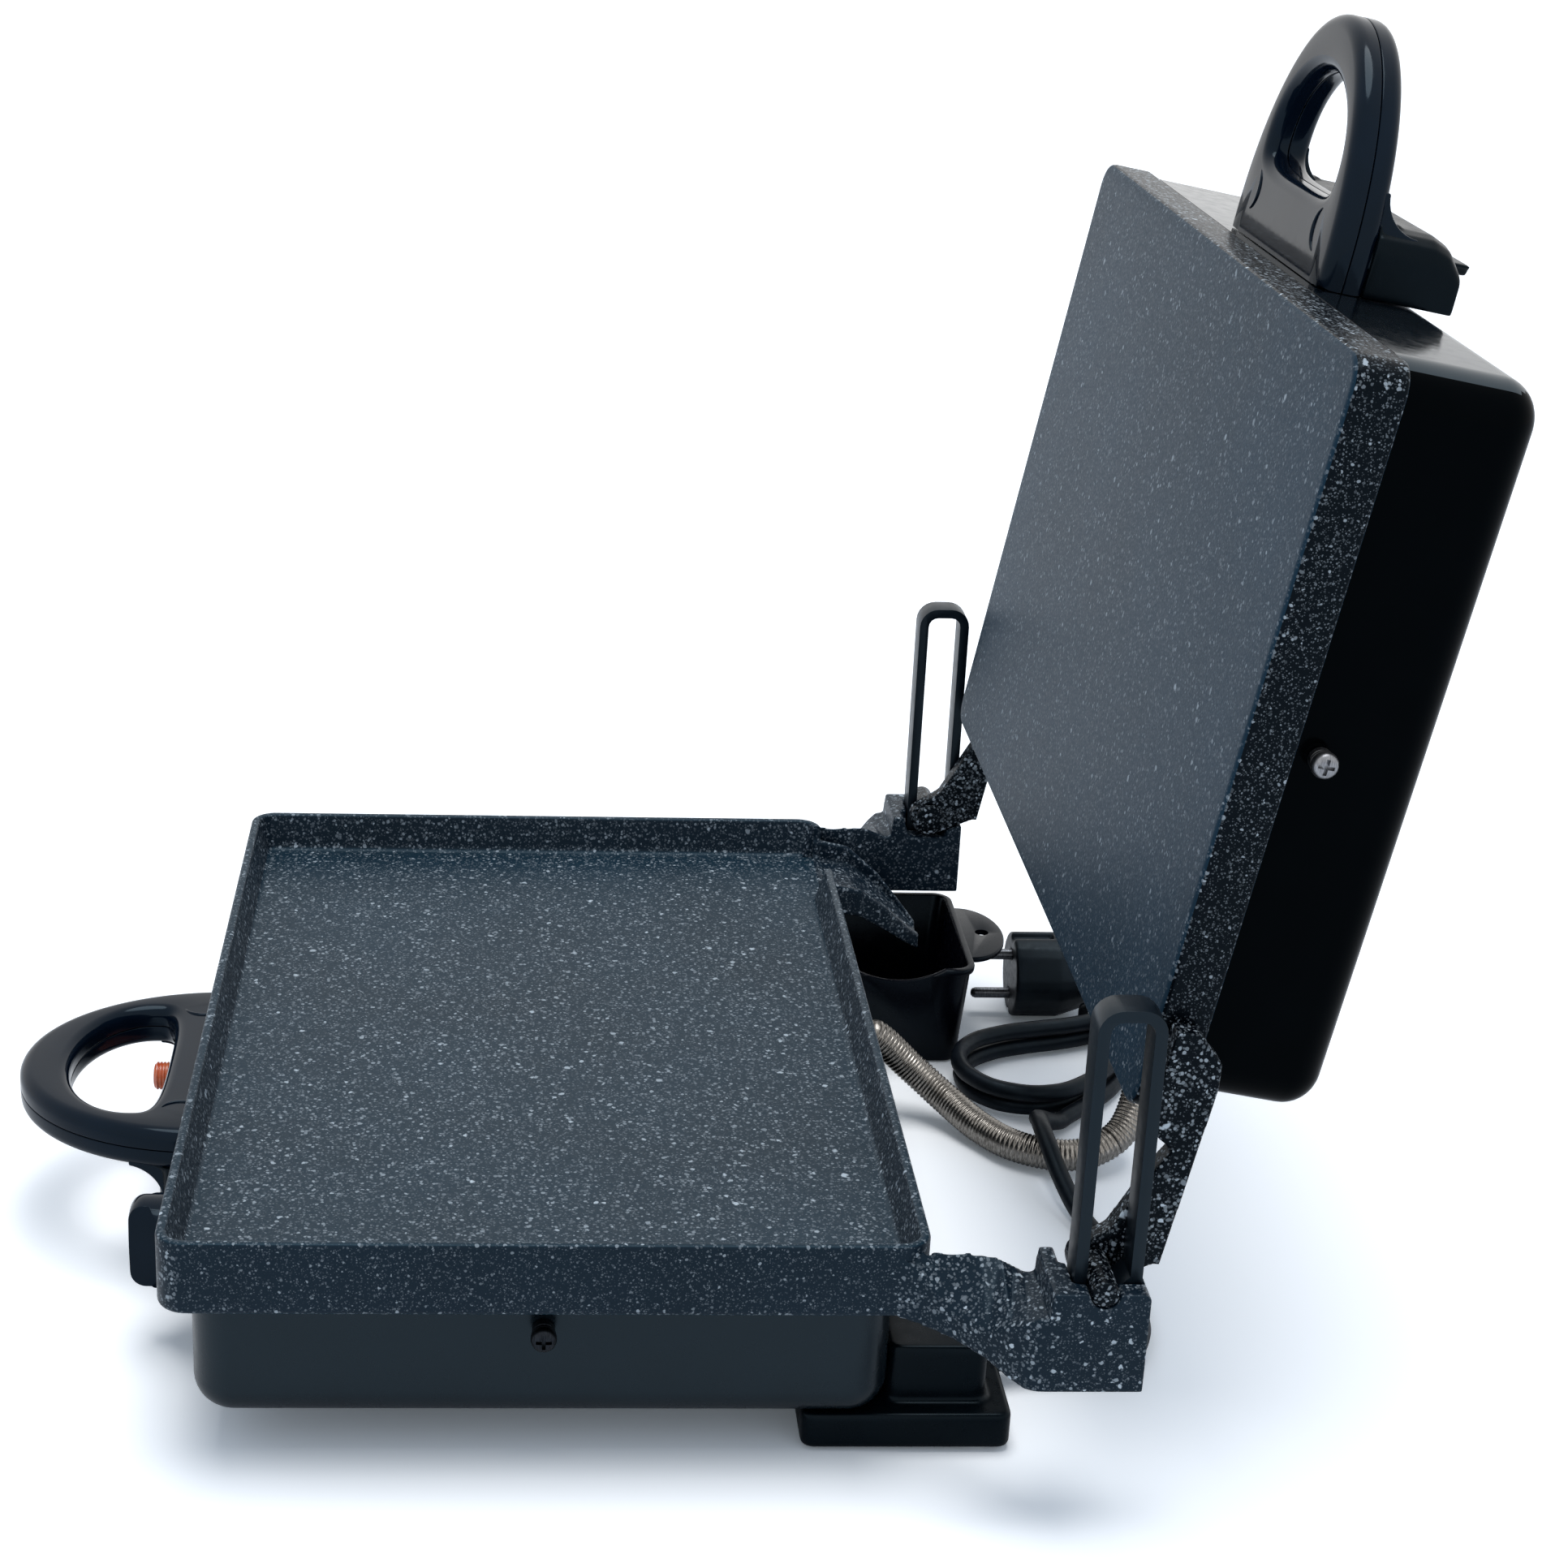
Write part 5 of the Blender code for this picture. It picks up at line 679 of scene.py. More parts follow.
# %% Lead as one curve
line = bpy.data.curves.new("mains_lead", "CURVE")
line.dimensions = "3D"
line.bevel_depth = CORD_DIAMETER / 2
line.bevel_resolution = 5
line.resolution_u = 6
line.use_fill_caps = True
spline = line.splines.new("BEZIER")
spline.bezier_points.add(len(route) - 1)
for spot, point in zip(spline.bezier_points, route):
    spot.co = at(*point)
    spot.handle_left_type = "AUTO"
    spot.handle_right_type = "AUTO"
line.materials.append(lead_rubber)
lead = linked("mains_lead", line)
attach(lead, "base")
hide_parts("mains_cord", "cord_hank", "cord_tail")

# %% [markdown]
# ## Strain relief, plug and tie
#
# Where the lead leaves the block, a ribbed rubber cone keeps it from kinking. It is a turned profile with narrow
# rings cut into it. The plug is moulded round its two pins, with a flat earth groove on each side, so the packed
# plug is softened by a voxel skin. The strap round the hank is a thin band, and only its edges are eased.

# %% Strain relief
AXIS = 0.0001
RELIEF_PLACE = (0.125, 0.158, 0.012)
RELIEF_BORE = CORD_DIAMETER / 2 + CLEAR
RELIEF_FLANGE = ((RELIEF_BORE, 0.0003), (0.0068, 0.0003), (0.0073, 0.0008), (0.0073, 0.0028), (0.0069, 0.0032))
RELIEF_END = ((0.0047, 0.0240), (0.0046, 0.0257), (RELIEF_BORE, 0.0260))
RELIEF_RINGS = 6
RELIEF_FIRST, RELIEF_PITCH = 0.0046, 0.0032
RELIEF_WIDE, RELIEF_TAPER, RELIEF_GROOVE = 0.0065, 0.00035, 0.0009


def stood(mesh, place, angle):
    """Turn a mesh that was made round the origin about X, and move it to its place."""
    mesh.transform(Matrix.Translation(place) @ Matrix.Rotation(angle, 4, "X"))
    return mesh


cone = [*RELIEF_FLANGE]
for ring in range(RELIEF_RINGS):
    start, wide = RELIEF_FIRST + ring * RELIEF_PITCH, RELIEF_WIDE - RELIEF_TAPER * ring
    cone += [(wide, start - 0.0006), (wide, start + 0.0008)]
    cone += [(wide - RELIEF_GROOVE, start + 0.0011), (wide - RELIEF_GROOVE, start + 0.0019)]
cone += RELIEF_END
relief_mesh = stood(turned(cone, 40, True), at(*RELIEF_PLACE), -QUARTER_TURN)
add_piece("strain_relief", relief_mesh, lead_rubber, "base", ("cord_relief",))
print("relief rings", len(cone))

# %% Plug, pins and tie
PLUG_FACE = (-0.172, 0.213)
PIN_LEVELS = {"lower": 0.0096, "upper": 0.0286}
PIN_PROFILE = (
    (AXIS, -0.0170), (0.0012, -0.0169), (0.0020, -0.0162), (0.0024, -0.0150), (0.0024, 0.0060), (AXIS, 0.0060),
)
plug = add_piece(
    "plug_moulding", softened("plug_body", 0.0007, 7), plug_rubber, "base", ("plug_body",), 60,
)
for word, level in PIN_LEVELS.items():
    pin_mesh = stood(turned(PIN_PROFILE, 28), at(*PLUG_FACE, level), -QUARTER_TURN)
    add_piece("plug_pin_bar_" + word, pin_mesh, pin_metal, "base", ("plug_pin_" + word,))
tie = add_piece("hank_strap", eased("cord_tie", 0.0002), lead_rubber, "base", ("cord_tie",))
print("plug", plug.name, "faces", len(plug.data.polygons))

# %% [markdown]
# ## Metal conduit
#
# The wires to the lid run in a wound steel hose. Its winding shows as fine even ribs, about 1.8 mm apart. A tube is
# swept along the route with a radius that rises and falls with the distance travelled. The route is the same as
# the solids' one, and it is split in the same place. The real hose bends when the lid moves, as the hinge pins rise
# and the lid turns; here both halves stay fixed where they stand and ride on no body.

# %% Route of the conduit
CONDUIT_ROUTE = (
    (-0.073, 0.1550, 0.0220), (-0.064, 0.1685, 0.0125), (-0.048, 0.1800, 0.0082), (-0.032, 0.1920, 0.0080),
    (-0.024, 0.2080, 0.0080), (-0.023, 0.2230, 0.0105), (-0.029, 0.2360, 0.0180), (-0.040, 0.2430, 0.0340),
    (-0.050, 0.2420, 0.0570), (-0.057, 0.2330, 0.0840),
)
CONDUIT_FROM = (-0.075, 0.1259, 0.036)
CONDUIT_TO = (-0.060, -0.0076, -0.040)
CONDUIT_BEND = (-0.050, 0.175, 0.008)
CONDUIT_STRAIGHT = 0.013
CONDUIT_STIFF = 0.008
CONDUIT_SPLIT = 0.230
CONDUIT_RADIUS = 0.0065
RIB_PITCH = 0.0018
RIB_DEPTH = 0.0005
RIB_SHARES = (0.0, 0.35, 0.85, 1.0, 0.85, 0.35)
lid_seat = lid_frame @ Matrix.Translation((0.0, LID_SETBACK, 0.0001))


def hose(points, radius_at, sides=28):
    """A tube along points; radius_at gives the radius for each point's number."""
    headings = [two - one for one, two in zip(points, points[2:])]
    headings = [points[1] - points[0], *headings, points[-1] - points[-2]]
    side = headings[0].normalized().orthogonal().normalized()
    rings = []
    for index, (point, heading) in enumerate(zip(points, headings)):
        heading = heading.normalized()
        side = (side - heading * side.dot(heading)).normalized()
        other = heading.cross(side)
        radius = radius_at(index)
        angles = [2 * math.pi * number / sides for number in range(sides)]
        rings.append([point + (side * math.cos(a) + other * math.sin(a)) * radius for a in angles])
    return skin(rings)


# %% Conduit
conduit_from = Vector(CONDUIT_FROM)
conduit_to = Matrix.Translation((0.0, -PAN_SHIFT, 0.0)) @ lid_seat @ Vector(CONDUIT_TO)
falling = Vector((0.0, -math.cos(LID_TILT), -math.sin(LID_TILT)))
guide = [conduit_from, conduit_from + Vector((0.0, CONDUIT_STRAIGHT, 0.0)), *CONDUIT_ROUTE]
guide += [conduit_to + falling * CONDUIT_STRAIGHT, conduit_to]
winding_line = spaced(even_route(guide, 0.0017), RIB_PITCH / len(RIB_SHARES))
split = next(index for index, point in enumerate(winding_line) if point.y > CONDUIT_SPLIT)
meeting = at(*winding_line[split])
stiff_from = at(*(conduit_to + falling * CONDUIT_STIFF))


def rib_radius(index):
    """The hose's radius at a point of its line, six points to a rib."""
    return CONDUIT_RADIUS - RIB_DEPTH + RIB_DEPTH * RIB_SHARES[index % len(RIB_SHARES)]


for word, part, bend in (
    ("lower", winding_line[:split + 1], ("base", "hinge_pins", at(*CONDUIT_BEND), meeting)),
    ("upper", winding_line[split + 1:], ("hinge_pins", "lid", meeting, stiff_from)),
):
    tube = hose([at(*point) for point in part], rib_radius)
    add_piece("ribbed_conduit_" + word, tube, conduit_metal, bend, ("conduit_" + word,), 75)
    print("conduit", word, "ribs", len(part) // len(RIB_SHARES))

# %% [markdown]
# ## Lower pan
#
# The pan is one aluminium casting: a shallow tray with an upright rim, a spout notch at its far rear corner and two
# heavy hinge arms. The tray is a loft with a true radius on every edge. The arms and the chute are lumpy castings,
# so they are cut out of the imported solid, softened, and tucked a little into the tray where they meet it. The
# walls carry coarser and paler flecks than the tray floor, on a darker base that is painted shade.

# %% Coatings of the walls, darker as painted shade
shaded_wall_coating = stone_coating("shaded_wall_stone_coating", rgb(14, 28, 40), 0.38, 0.95, 1.1)
shaded_lid_wall_coating = stone_coating("shaded_lid_wall_stone_coating", rgb(2, 5, 11), 0.30, 1.2, 1.2, 0.10)
WALL_LIMIT = 0.6


def second_coat(piece, material, chosen):
    """Give a second material to the faces whose normal is chosen."""
    piece.data.materials.append(material)
    for face in piece.data.polygons:
        if chosen(face.normal):
            face.material_index = 1


print("wall coatings", shaded_wall_coating.name, shaded_lid_wall_coating.name)

# %% Pan tray
FLOOR_HEIGHT = RIM - 0.015
PAN_BOTTOM = RIM - 0.026
TRAY_SHEET = 0.006
FOOT_ROUND = 0.002
LIP_ROUND = 0.0012
LIP_INSIDE = 0.0023
FLOOR_ROUND = 0.0026
FLOOR_INSIDE = 0.0091
NOTCH_LEFT, NOTCH_RIGHT, NOTCH_DEEP = -0.175, -0.127, 0.0135
OVERCUT = 0.004
pan_middle = Matrix.Translation(at(0.0, 0.0, 0.0))
levels = [(0.0053, FLOOR_HEIGHT - TRAY_SHEET), (0.0045, PAN_BOTTOM)]
levels += quarter(FOOT_ROUND, PAN_BOTTOM + FOOT_ROUND, FOOT_ROUND, 270, 180)
levels += quarter(LIP_ROUND, RIM - LIP_ROUND, LIP_ROUND, 180, 90, 4)
levels += quarter(LIP_INSIDE, RIM - LIP_ROUND, LIP_ROUND, 90, 0, 4)
levels += quarter(FLOOR_INSIDE, FLOOR_HEIGHT + FLOOR_ROUND, FLOOR_ROUND, 180, 270, 5)
notch = box_mesh(
    (NOTCH_LEFT, PAN_DEPTH / 2 - NOTCH_DEEP, FLOOR_HEIGHT + CLEAR),
    (NOTCH_RIGHT, PAN_DEPTH / 2 + OVERCUT, RIM + OVERCUT),
)
tray = cut(skin(stepped(PAN_WIDTH, PAN_DEPTH, PAN_CORNER, levels)), notch)
tray = bevelled(tray, 0.0009, 55)
tray.transform(pan_middle)
tray_piece = add_piece("pan_tray", tray, pan_coating, "base", ("pan_lower",), 50)
# The tray's walls take the darker coating: painted shade on the sides.
second_coat(tray_piece, shaded_wall_coating, lambda normal: abs(normal.z) < WALL_LIMIT)
print("tray faces", len(tray.polygons))

# %% Hinge arms and chute of the pan
PAN_CASTINGS = (
    ("pan_arm_near", (0.1815, 0.1085, 0.040), (0.220, 0.195, 0.095)),
    ("pan_arm_far", (-0.220, 0.1085, 0.040), (-0.1815, 0.195, 0.095)),
    ("pan_chute", (-0.1812, 0.1215, 0.030), (-0.120, 0.180, 0.095)),
)
TUCK = 0.0004
TUCK_FROM = 0.00012


def tucked(mesh, seat, sides_only=False):
    """Sink what lies on a plate's own faces a little below them, so that no two faces share a plane."""
    mesh.transform(seat.inverted())
    for vertex in mesh.vertices:
        spot = vertex.co
        beside = abs(spot.x) < PAN_WIDTH / 2 + TUCK_FROM
        if beside and (sides_only or (spot.y < PAN_DEPTH / 2 + TUCK_FROM and spot.z < RIM + TUCK_FROM)):
            spot.x -= math.copysign(TUCK, spot.x)
            if not sides_only:
                spot.y -= TUCK
                spot.z -= TUCK if spot.z > (RIM + PAN_BOTTOM) / 2 else -TUCK
    mesh.transform(seat)
    return mesh


for name, low, high in PAN_CASTINGS:
    mesh = tucked(softened("pan_lower", 0.0007, 5, pan_middle, (low, high)), pan_middle)
    add_piece(name, mesh, shaded_wall_coating, "base", (), 180)
    print(name, len(mesh.polygons))

# %% [markdown]
# ## Lid plate
#
# The upper plate is flat and smooth, with a soft edge all round. Two arms reach from its sides back to the hinge
# pins. It is made like the pan: a loft in the lid's own frame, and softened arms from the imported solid.

# %% Lid plate and arms
LID_SHEET = 0.008
LID_EDGE = 0.0024
LID_CASTINGS = (
    ("lid_arm_near", (0.1830, -0.062, -0.030), (0.200, 0.040, 0.012)),
    ("lid_arm_far", (-0.200, -0.062, -0.030), (-0.1830, 0.040, 0.012)),
)
levels = [(0.0045, -LID_SHEET), (0.0037, -LID_WALL), (LIP_ROUND, -LID_WALL)]
levels += quarter(LIP_ROUND, -LID_WALL + LIP_ROUND, LIP_ROUND, 270, 180, 4)
levels += quarter(LID_EDGE, -LID_EDGE, LID_EDGE, 180, 90, 7)
plate = skin(stepped(PAN_WIDTH, LID_LENGTH, PAN_CORNER, levels, (0.0, LID_LENGTH / 2)))
plate.transform(lid_seat)
plate_piece = add_piece("lid_face", plate, lid_coating, "lid", ("lid_plate",), 50)
out_of_lid = lid_seat.to_3x3() @ Vector((0.0, 0.0, 1.0))
# The lid plate's edges and arms take the darker wall coating: painted shade on the sides.
second_coat(plate_piece, shaded_lid_wall_coating, lambda normal: abs(normal.dot(out_of_lid)) < WALL_LIMIT)
for name, low, high in LID_CASTINGS:
    mesh = tucked(softened("lid_plate", 0.0006, 5, lid_seat, (low, high)), lid_seat, True)
    add_piece(name, mesh, shaded_lid_wall_coating, "lid", (), 180)
    print(name, len(mesh.polygons))

# %% [markdown]
# ## Pressed shells
#
# Both shells are drawn from 1.2 mm sheet: vertical walls, upright corners of 14 mm and a 12 mm radius round the
# closed side. A loft of rounded rectangles follows the sheet inside and out.

# %% How a shell is made
SHEET = 0.0012
SHELL_CORNER = 0.014
SHELL_FILLET = 0.012
SHELL_LIP = 0.0003


def shell_mesh(width, depth, middle, open_end, closed_end):
    """A drawn shell: inner fillet, free edge, outer fillet."""
    turn_height = closed_end + SHELL_FILLET
    levels = quarter(SHELL_FILLET, turn_height, SHELL_FILLET - SHEET, 270, 180, 8)
    levels += [(SHEET, open_end - SHELL_LIP), (SHEET * 0.75, open_end), (SHEET * 0.25, open_end)]
    levels += [(0.0, open_end - SHELL_LIP), *quarter(SHELL_FILLET, turn_height, SHELL_FILLET, 180, 270, 10)]
    return skin(stepped(width, depth, SHELL_CORNER, levels, middle))


def rod(start, end, radius, sides=32):
    """A round bar between two places."""
    start, end = Vector(start), Vector(end)
    length = (end - start).length
    mesh = turned([(radius, 0.0), (radius, length)], sides)
    mesh.transform(Matrix.Translation(start) @ (end - start).to_track_quat("Z", "Y").to_matrix().to_4x4())
    return mesh


# %% Shells
SHELL_SCREW = (0.0, 0.051)
LID_SHELL_SCREW = (0.1235, -0.028)
DIAL_X, DIAL_LEVEL = 0.100, 0.040
LID_SHELL_DEPTH = 0.243
LID_SHELL_START = 0.003
LID_SHELL_RISE = 0.047
SCREW_BORE, SHAFT_BORE, GLAND_BORE = 0.0023, 0.0053, 0.0056
BORE_REACH = 0.006
END_LIMIT = 0.8


def side_bores(shell, along, level):
    """A shell with a screw's hole through each side wall."""
    for side in (1, -1):
        ends = [(side * (COVER_HALF_WIDTH + reach), along, level) for reach in (-BORE_REACH, BORE_REACH)]
        shell = cut(shell, rod(*ends, SCREW_BORE))
    return shell


lower = shell_mesh(
    2 * COVER_HALF_WIDTH, 2 * COVER_HALF_DEPTH, (0.0, 0.0), FLOOR_HEIGHT - TRAY_SHEET - CLEAR, COVER_BOTTOM,
)
lower = side_bores(lower, *SHELL_SCREW)
lower = cut(lower, rod((DIAL_X, -0.110, DIAL_LEVEL), (DIAL_X, -0.121, DIAL_LEVEL), SHAFT_BORE))
gland_x, _, level = CONDUIT_FROM
lower = cut(lower, rod((gland_x, 0.110, level), (gland_x, 0.121, level), GLAND_BORE))
lower.transform(pan_middle)
add_piece("lower_shell", lower, shell_enamel, "base", ("lower_cover",), 35)

upper = shell_mesh(
    2 * COVER_HALF_WIDTH, LID_SHELL_DEPTH, (0.0, LID_SHELL_START + LID_SHELL_DEPTH / 2), -LID_WALL - CLEAR,
    -LID_WALL - LID_SHELL_RISE,
)
upper = side_bores(upper, *LID_SHELL_SCREW)
gland_x, _, level = CONDUIT_TO
upper = cut(upper, rod((gland_x, -0.002, level), (gland_x, 0.010, level), GLAND_BORE))
upper.transform(lid_seat)
lid_shell = add_piece("lid_shell", upper, shaded_lid_shell_enamel, "lid", ("lid_cover",), 35)
up_the_lid = lid_seat.to_3x3() @ Vector((0.0, 1.0, 0.0))
# Painted highlight: the end faces of the lid shell take the lit copy of its enamel, the sides the shaded one.
second_coat(lid_shell, lit_lid_end_enamel, lambda normal: normal.dot(up_the_lid) > END_LIMIT)
print("shells", len(lower.polygons), len(upper.polygons))

# %% [markdown]
# ## Guide loops and hinge pins
#
# Each loop is a flat bar bent into a tall frame; the lid's pin slides up in its slot when thick food lies between
# the plates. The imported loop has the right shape, so a bevel that breaks its edges is all it needs.

# %% Loops and pins
for word in ("near", "far"):
    loop, stud = "guide_loop_" + word, "hinge_pin_" + word
    add_piece("guide_bar_" + word, eased(loop, 0.0009), loop_enamel, "base", (loop,))
    add_piece(
        "hinge_stud_" + word, eased(stud, 0.0007), shaded_lid_wall_coating, "hinge_pins", (stud,), 30,
    )
    print(loop, stud)

# %% [markdown]
# ## Handles
#
# Each handle is two half shells round a finger hole. The outline is a half ellipse on a short stem, and the hole is
# half an ellipse with a bowed base. Both outlines are read at the same angles from the hole's middle, so rings can
# run from the split line up the outside, over the rounded top, and down inside the hole. That gives one closed,
# smooth band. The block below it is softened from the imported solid. A concave corner runs from the handle's back
# into the block at each side, and a thin raised arc stands on the face above it.

# %% Outlines of a handle
LOWER_REACH = 0.081
UPPER_REACH = 0.0835
HANDLE_HALF = 0.061
HOLE_HALF = 0.042
HOLE_MIDDLE = 0.035
HOLE_RIM = 0.019
HOLE_DROP = 0.0095
HOLE_POWER = 0.6
STEM = 0.008
HALF_THICK = 0.008
HANDLE_SIDES = 160


def outer_point(angle, reach, inset):
    """Where a ray from the hole's middle meets the handle's outline, drawn in by inset."""
    cosine, sine = math.cos(angle), math.sin(angle)
    half, tall = HANDLE_HALF - inset, reach - STEM - inset
    rise = HOLE_MIDDLE - STEM
    square = (cosine / half) ** 2 + (sine / tall) ** 2
    linear = rise * sine / tall ** 2
    ray = (-linear + math.sqrt(linear ** 2 - square * ((rise / tall) ** 2 - 1))) / square
    if HOLE_MIDDLE + ray * sine < STEM:
        ray = half / abs(cosine) if abs(cosine) > 0.0001 else 1.0
        if HOLE_MIDDLE + ray * sine < 0.0:
            ray = HOLE_MIDDLE / -sine
    return ray * cosine, HOLE_MIDDLE + ray * sine


def hole_point(angle, reach, grow):
    """The finger hole's edge in the same direction."""
    cosine, sine = math.cos(angle), math.sin(angle)
    if sine >= 0:
        return (HOLE_HALF + grow) * cosine, HOLE_MIDDLE + (reach - HOLE_RIM - HOLE_MIDDLE + grow) * sine
    square = math.copysign(abs(cosine) ** HOLE_POWER, cosine)
    return (HOLE_HALF + grow) * square, HOLE_MIDDLE - (HOLE_DROP + grow) * abs(sine) ** HOLE_POWER


# %% Half shells
EDGE_STEPS = 6


def rounded_edge(radius, level, up):
    """(inset, height) pairs over an edge at a level, from the side to the top or the other way."""
    sign = 1 if up else -1
    steps = [QUARTER_TURN * step / EDGE_STEPS for step in range(EDGE_STEPS + 1)]
    pairs = [(radius * (1 - math.cos(a)), level - sign * radius * (1 - math.sin(a))) for a in steps]
    return pairs if up else pairs[::-1]


def handle_shell(reach, low, high, round_low, round_high):
    """A closed band between two heights with rounded edges."""
    corner = math.atan2(-HOLE_MIDDLE, HANDLE_HALF)
    angles = [2 * math.pi * index / HANDLE_SIDES for index in range(HANDLE_SIDES)]
    angles += [corner % (2 * math.pi), (math.pi - corner) % (2 * math.pi)]
    angles.sort()
    profile = rounded_edge(round_low, low, False) + rounded_edge(round_high, high, True)
    rings = [[(*outer_point(angle, reach, inset), height) for angle in angles] for inset, height in profile]
    for grow, height in reversed(profile):
        rings.append([(*hole_point(angle, reach, grow), height) for angle in angles])
    return skin(rings, True)


print("handle outline", [round(v, 4) for v in outer_point(0.0, LOWER_REACH, 0.0)])

# %% Marks and corners of a handle
ARC_STEPS = 20
ARC_THICK = 0.0007
ARC_PLACE = (0.0440, 0.0165)
ARC_RADIUS = 0.0075
GUSSET_RADIUS = 0.0125
GUSSET_START = 0.0215
GUSSET_ROOT = 0.009
GUSSET_TOP = -0.0050
GUSSET_INSIDE = 0.0435
GUSSET_MARGIN = 0.0007


def raised_arc(side):
    """A thin raised arc on the handle's face, with flowing ends."""
    points = []
    for step in range(ARC_STEPS + 1):
        angle = math.radians(90 + side * 20 + side * 150 * step / ARC_STEPS)
        x, y = side * ARC_PLACE[0] + ARC_RADIUS * math.cos(angle), ARC_PLACE[1] + ARC_RADIUS * math.sin(angle)
        points.append(Vector((x, y, HALF_THICK - 0.0002)))
    return hose(points, lambda index: 0.0002 + ARC_THICK * math.sin(math.pi * index / ARC_STEPS) ** 0.5, 12)


def gusset(side, reach):
    """The concave corner between the handle's back and the block's front, flush with the handle's side."""
    middle = (GUSSET_START + GUSSET_RADIUS, -HALF_THICK - GUSSET_RADIUS)
    outline = [(GUSSET_ROOT, GUSSET_TOP), (middle[0], GUSSET_TOP)]
    for step in range(13):
        angle = math.radians(90 + 90 * step / 12)
        outline.append((middle[0] + GUSSET_RADIUS * math.cos(angle), middle[1] + GUSSET_RADIUS * math.sin(angle)))
    outline.append((GUSSET_ROOT, middle[1]))
    rings = [[(side * GUSSET_INSIDE, along, height) for along, height in outline], []]
    for along, height in outline:
        share = (along - STEM) / (reach - STEM)
        rings[1].append((side * (HANDLE_HALF - GUSSET_MARGIN) * math.sqrt(1 - share ** 2), along, height))
    return bevelled(skin(rings), 0.0007, 34)


# %% Both handles
SPLIT_GAP = 0.00015
SPLIT_ROUND, FACE_ROUND, BACK_ROUND = 0.0004, 0.0046, 0.0042
BLOCK_BOX = ((-0.070, -0.001, -0.050), (0.070, 0.0245, -0.0067))
lower_grip = Matrix.Translation(at(0.0, -COVER_HALF_DEPTH - CLEAR, PAN_BOTTOM - 0.0010 - HALF_THICK))
lower_grip = lower_grip @ Matrix.Rotation(math.pi, 4, "Z")
upper_grip = lid_seat @ Matrix.Translation((0.0, 0.2463, -LID_WALL - 0.0050 - HALF_THICK))


def grip_pieces(prefix, body, grip, pieces):
    """Move pieces that were made round the origin to their handle, and add them."""
    for word, mesh, stands_for, angle in pieces:
        mesh.transform(grip)
        add_piece(f"{prefix}_grip_{word}", mesh, blue_sheen_handle_plastic, body, stands_for, angle)


for prefix, body, grip, reach, words in (
    ("lower", "base", lower_grip, LOWER_REACH, ("top", "bottom")),
    ("upper", "lid", upper_grip, UPPER_REACH, ("front", "back")),
):
    front_node, back_node = [prefix + "_handle_" + word for word in words]
    grip_pieces(prefix, body, grip, (
        ("face", handle_shell(reach, SPLIT_GAP, HALF_THICK, SPLIT_ROUND, FACE_ROUND), (front_node,), 60),
        ("back", handle_shell(reach, -HALF_THICK, -SPLIT_GAP, BACK_ROUND, SPLIT_ROUND), (back_node,), 60),
    ))
    block = softened(back_node, 0.0008, 8, grip, BLOCK_BOX)
    add_piece(prefix + "_grip_block", block, block_plastic, body, (), 180)
    for word, side in (("right", 1), ("left", -1)):
        grip_pieces(prefix, body, grip, (
            ("gusset_" + word, gusset(side, reach), (), 40), ("mark_" + word, raised_arc(side), (), 60),
        ))
    print(prefix, "grip block", len(block.polygons), "faces")

# %% [markdown]
# ## Dial, lamp and rear block
#
# The dial is a thick round knob with a bar grip: a turned profile, with a scoop cut by a rod at each side of the bar.
# The lamp's lens is a ribbed amber rod that stands out of the block under the handle. Both sit on the handle side of
# the lower shell. The rear block is the foot and the wire housing at the back, softened from its solid.

# %% Dial
KNOB_RIM = (
    (0.0195, 0.0030), (0.0209, 0.0033), (0.0215, 0.0042), (0.0215, 0.0062), (0.0209, 0.0071), (0.0178, 0.0078),
)
KNOB_WAIST = ((0.0168, 0.0090), (0.0165, 0.0110), (0.0165, 0.0200))
KNOB_BORE, KNOB_FOOT, KNOB_SEAT, KNOB_TOP = 0.0033, 0.0030, 0.0173, 0.0282
SCOOP_START, SCOOP_END, SCOOP_LEVEL, SCOOP_RADIUS = 0.0045, 0.030, 0.032, 0.0195
profile = [(KNOB_BORE, KNOB_SEAT), (KNOB_BORE, KNOB_FOOT), *KNOB_RIM, *KNOB_WAIST]
profile += [*quarter(0.0110, 0.0225, 0.0055, 0, 90, 8), (0.0060, 0.0281), (AXIS, KNOB_TOP), (AXIS, KNOB_SEAT)]
knob = turned(profile, 72)
for side in (1, -1):
    low, high = sorted((side * SCOOP_START, side * SCOOP_END))
    knob = cut(knob, rod((low, 0.0, SCOOP_LEVEL), (high, 0.0, SCOOP_LEVEL), SCOOP_RADIUS, 96))
knob = stood(bevelled(knob, 0.0009, 40), at(DIAL_X, -COVER_HALF_DEPTH, DIAL_LEVEL), QUARTER_TURN)
add_piece("dial_knob", knob, blue_sheen_handle_plastic, "dial", ("thermostat_knob",), 50)
print("dial faces", len(knob.polygons))

# %% Lens and rear block
LENS_RIBS = 8
LENS_RADIUS, LENS_GROOVE = 0.0055, 0.0050
LENS_FIRST, LENS_PITCH = 0.0028, 0.0013
LENS_END = ((0.0048, 0.0136), (0.0036, 0.0140), (AXIS, 0.0140))
LENS_PLACE = (0.032, 0.0215, -0.0165)
ribs = [(AXIS, 0.0), (LENS_RADIUS, 0.0), (LENS_RADIUS, 0.0024)]
for number in range(LENS_RIBS):
    start = LENS_FIRST + number * LENS_PITCH
    ribs += [(LENS_GROOVE, start), (LENS_RADIUS, start + 0.0004)]
    ribs += [(LENS_RADIUS, start + 0.0008), (LENS_GROOVE, start + 0.0012)]
lens_mesh = stood(turned([*ribs, *LENS_END], 40), (0.0, 0.0, 0.0), -QUARTER_TURN)
lens_mesh.transform(lower_grip @ Matrix.Translation(LENS_PLACE))
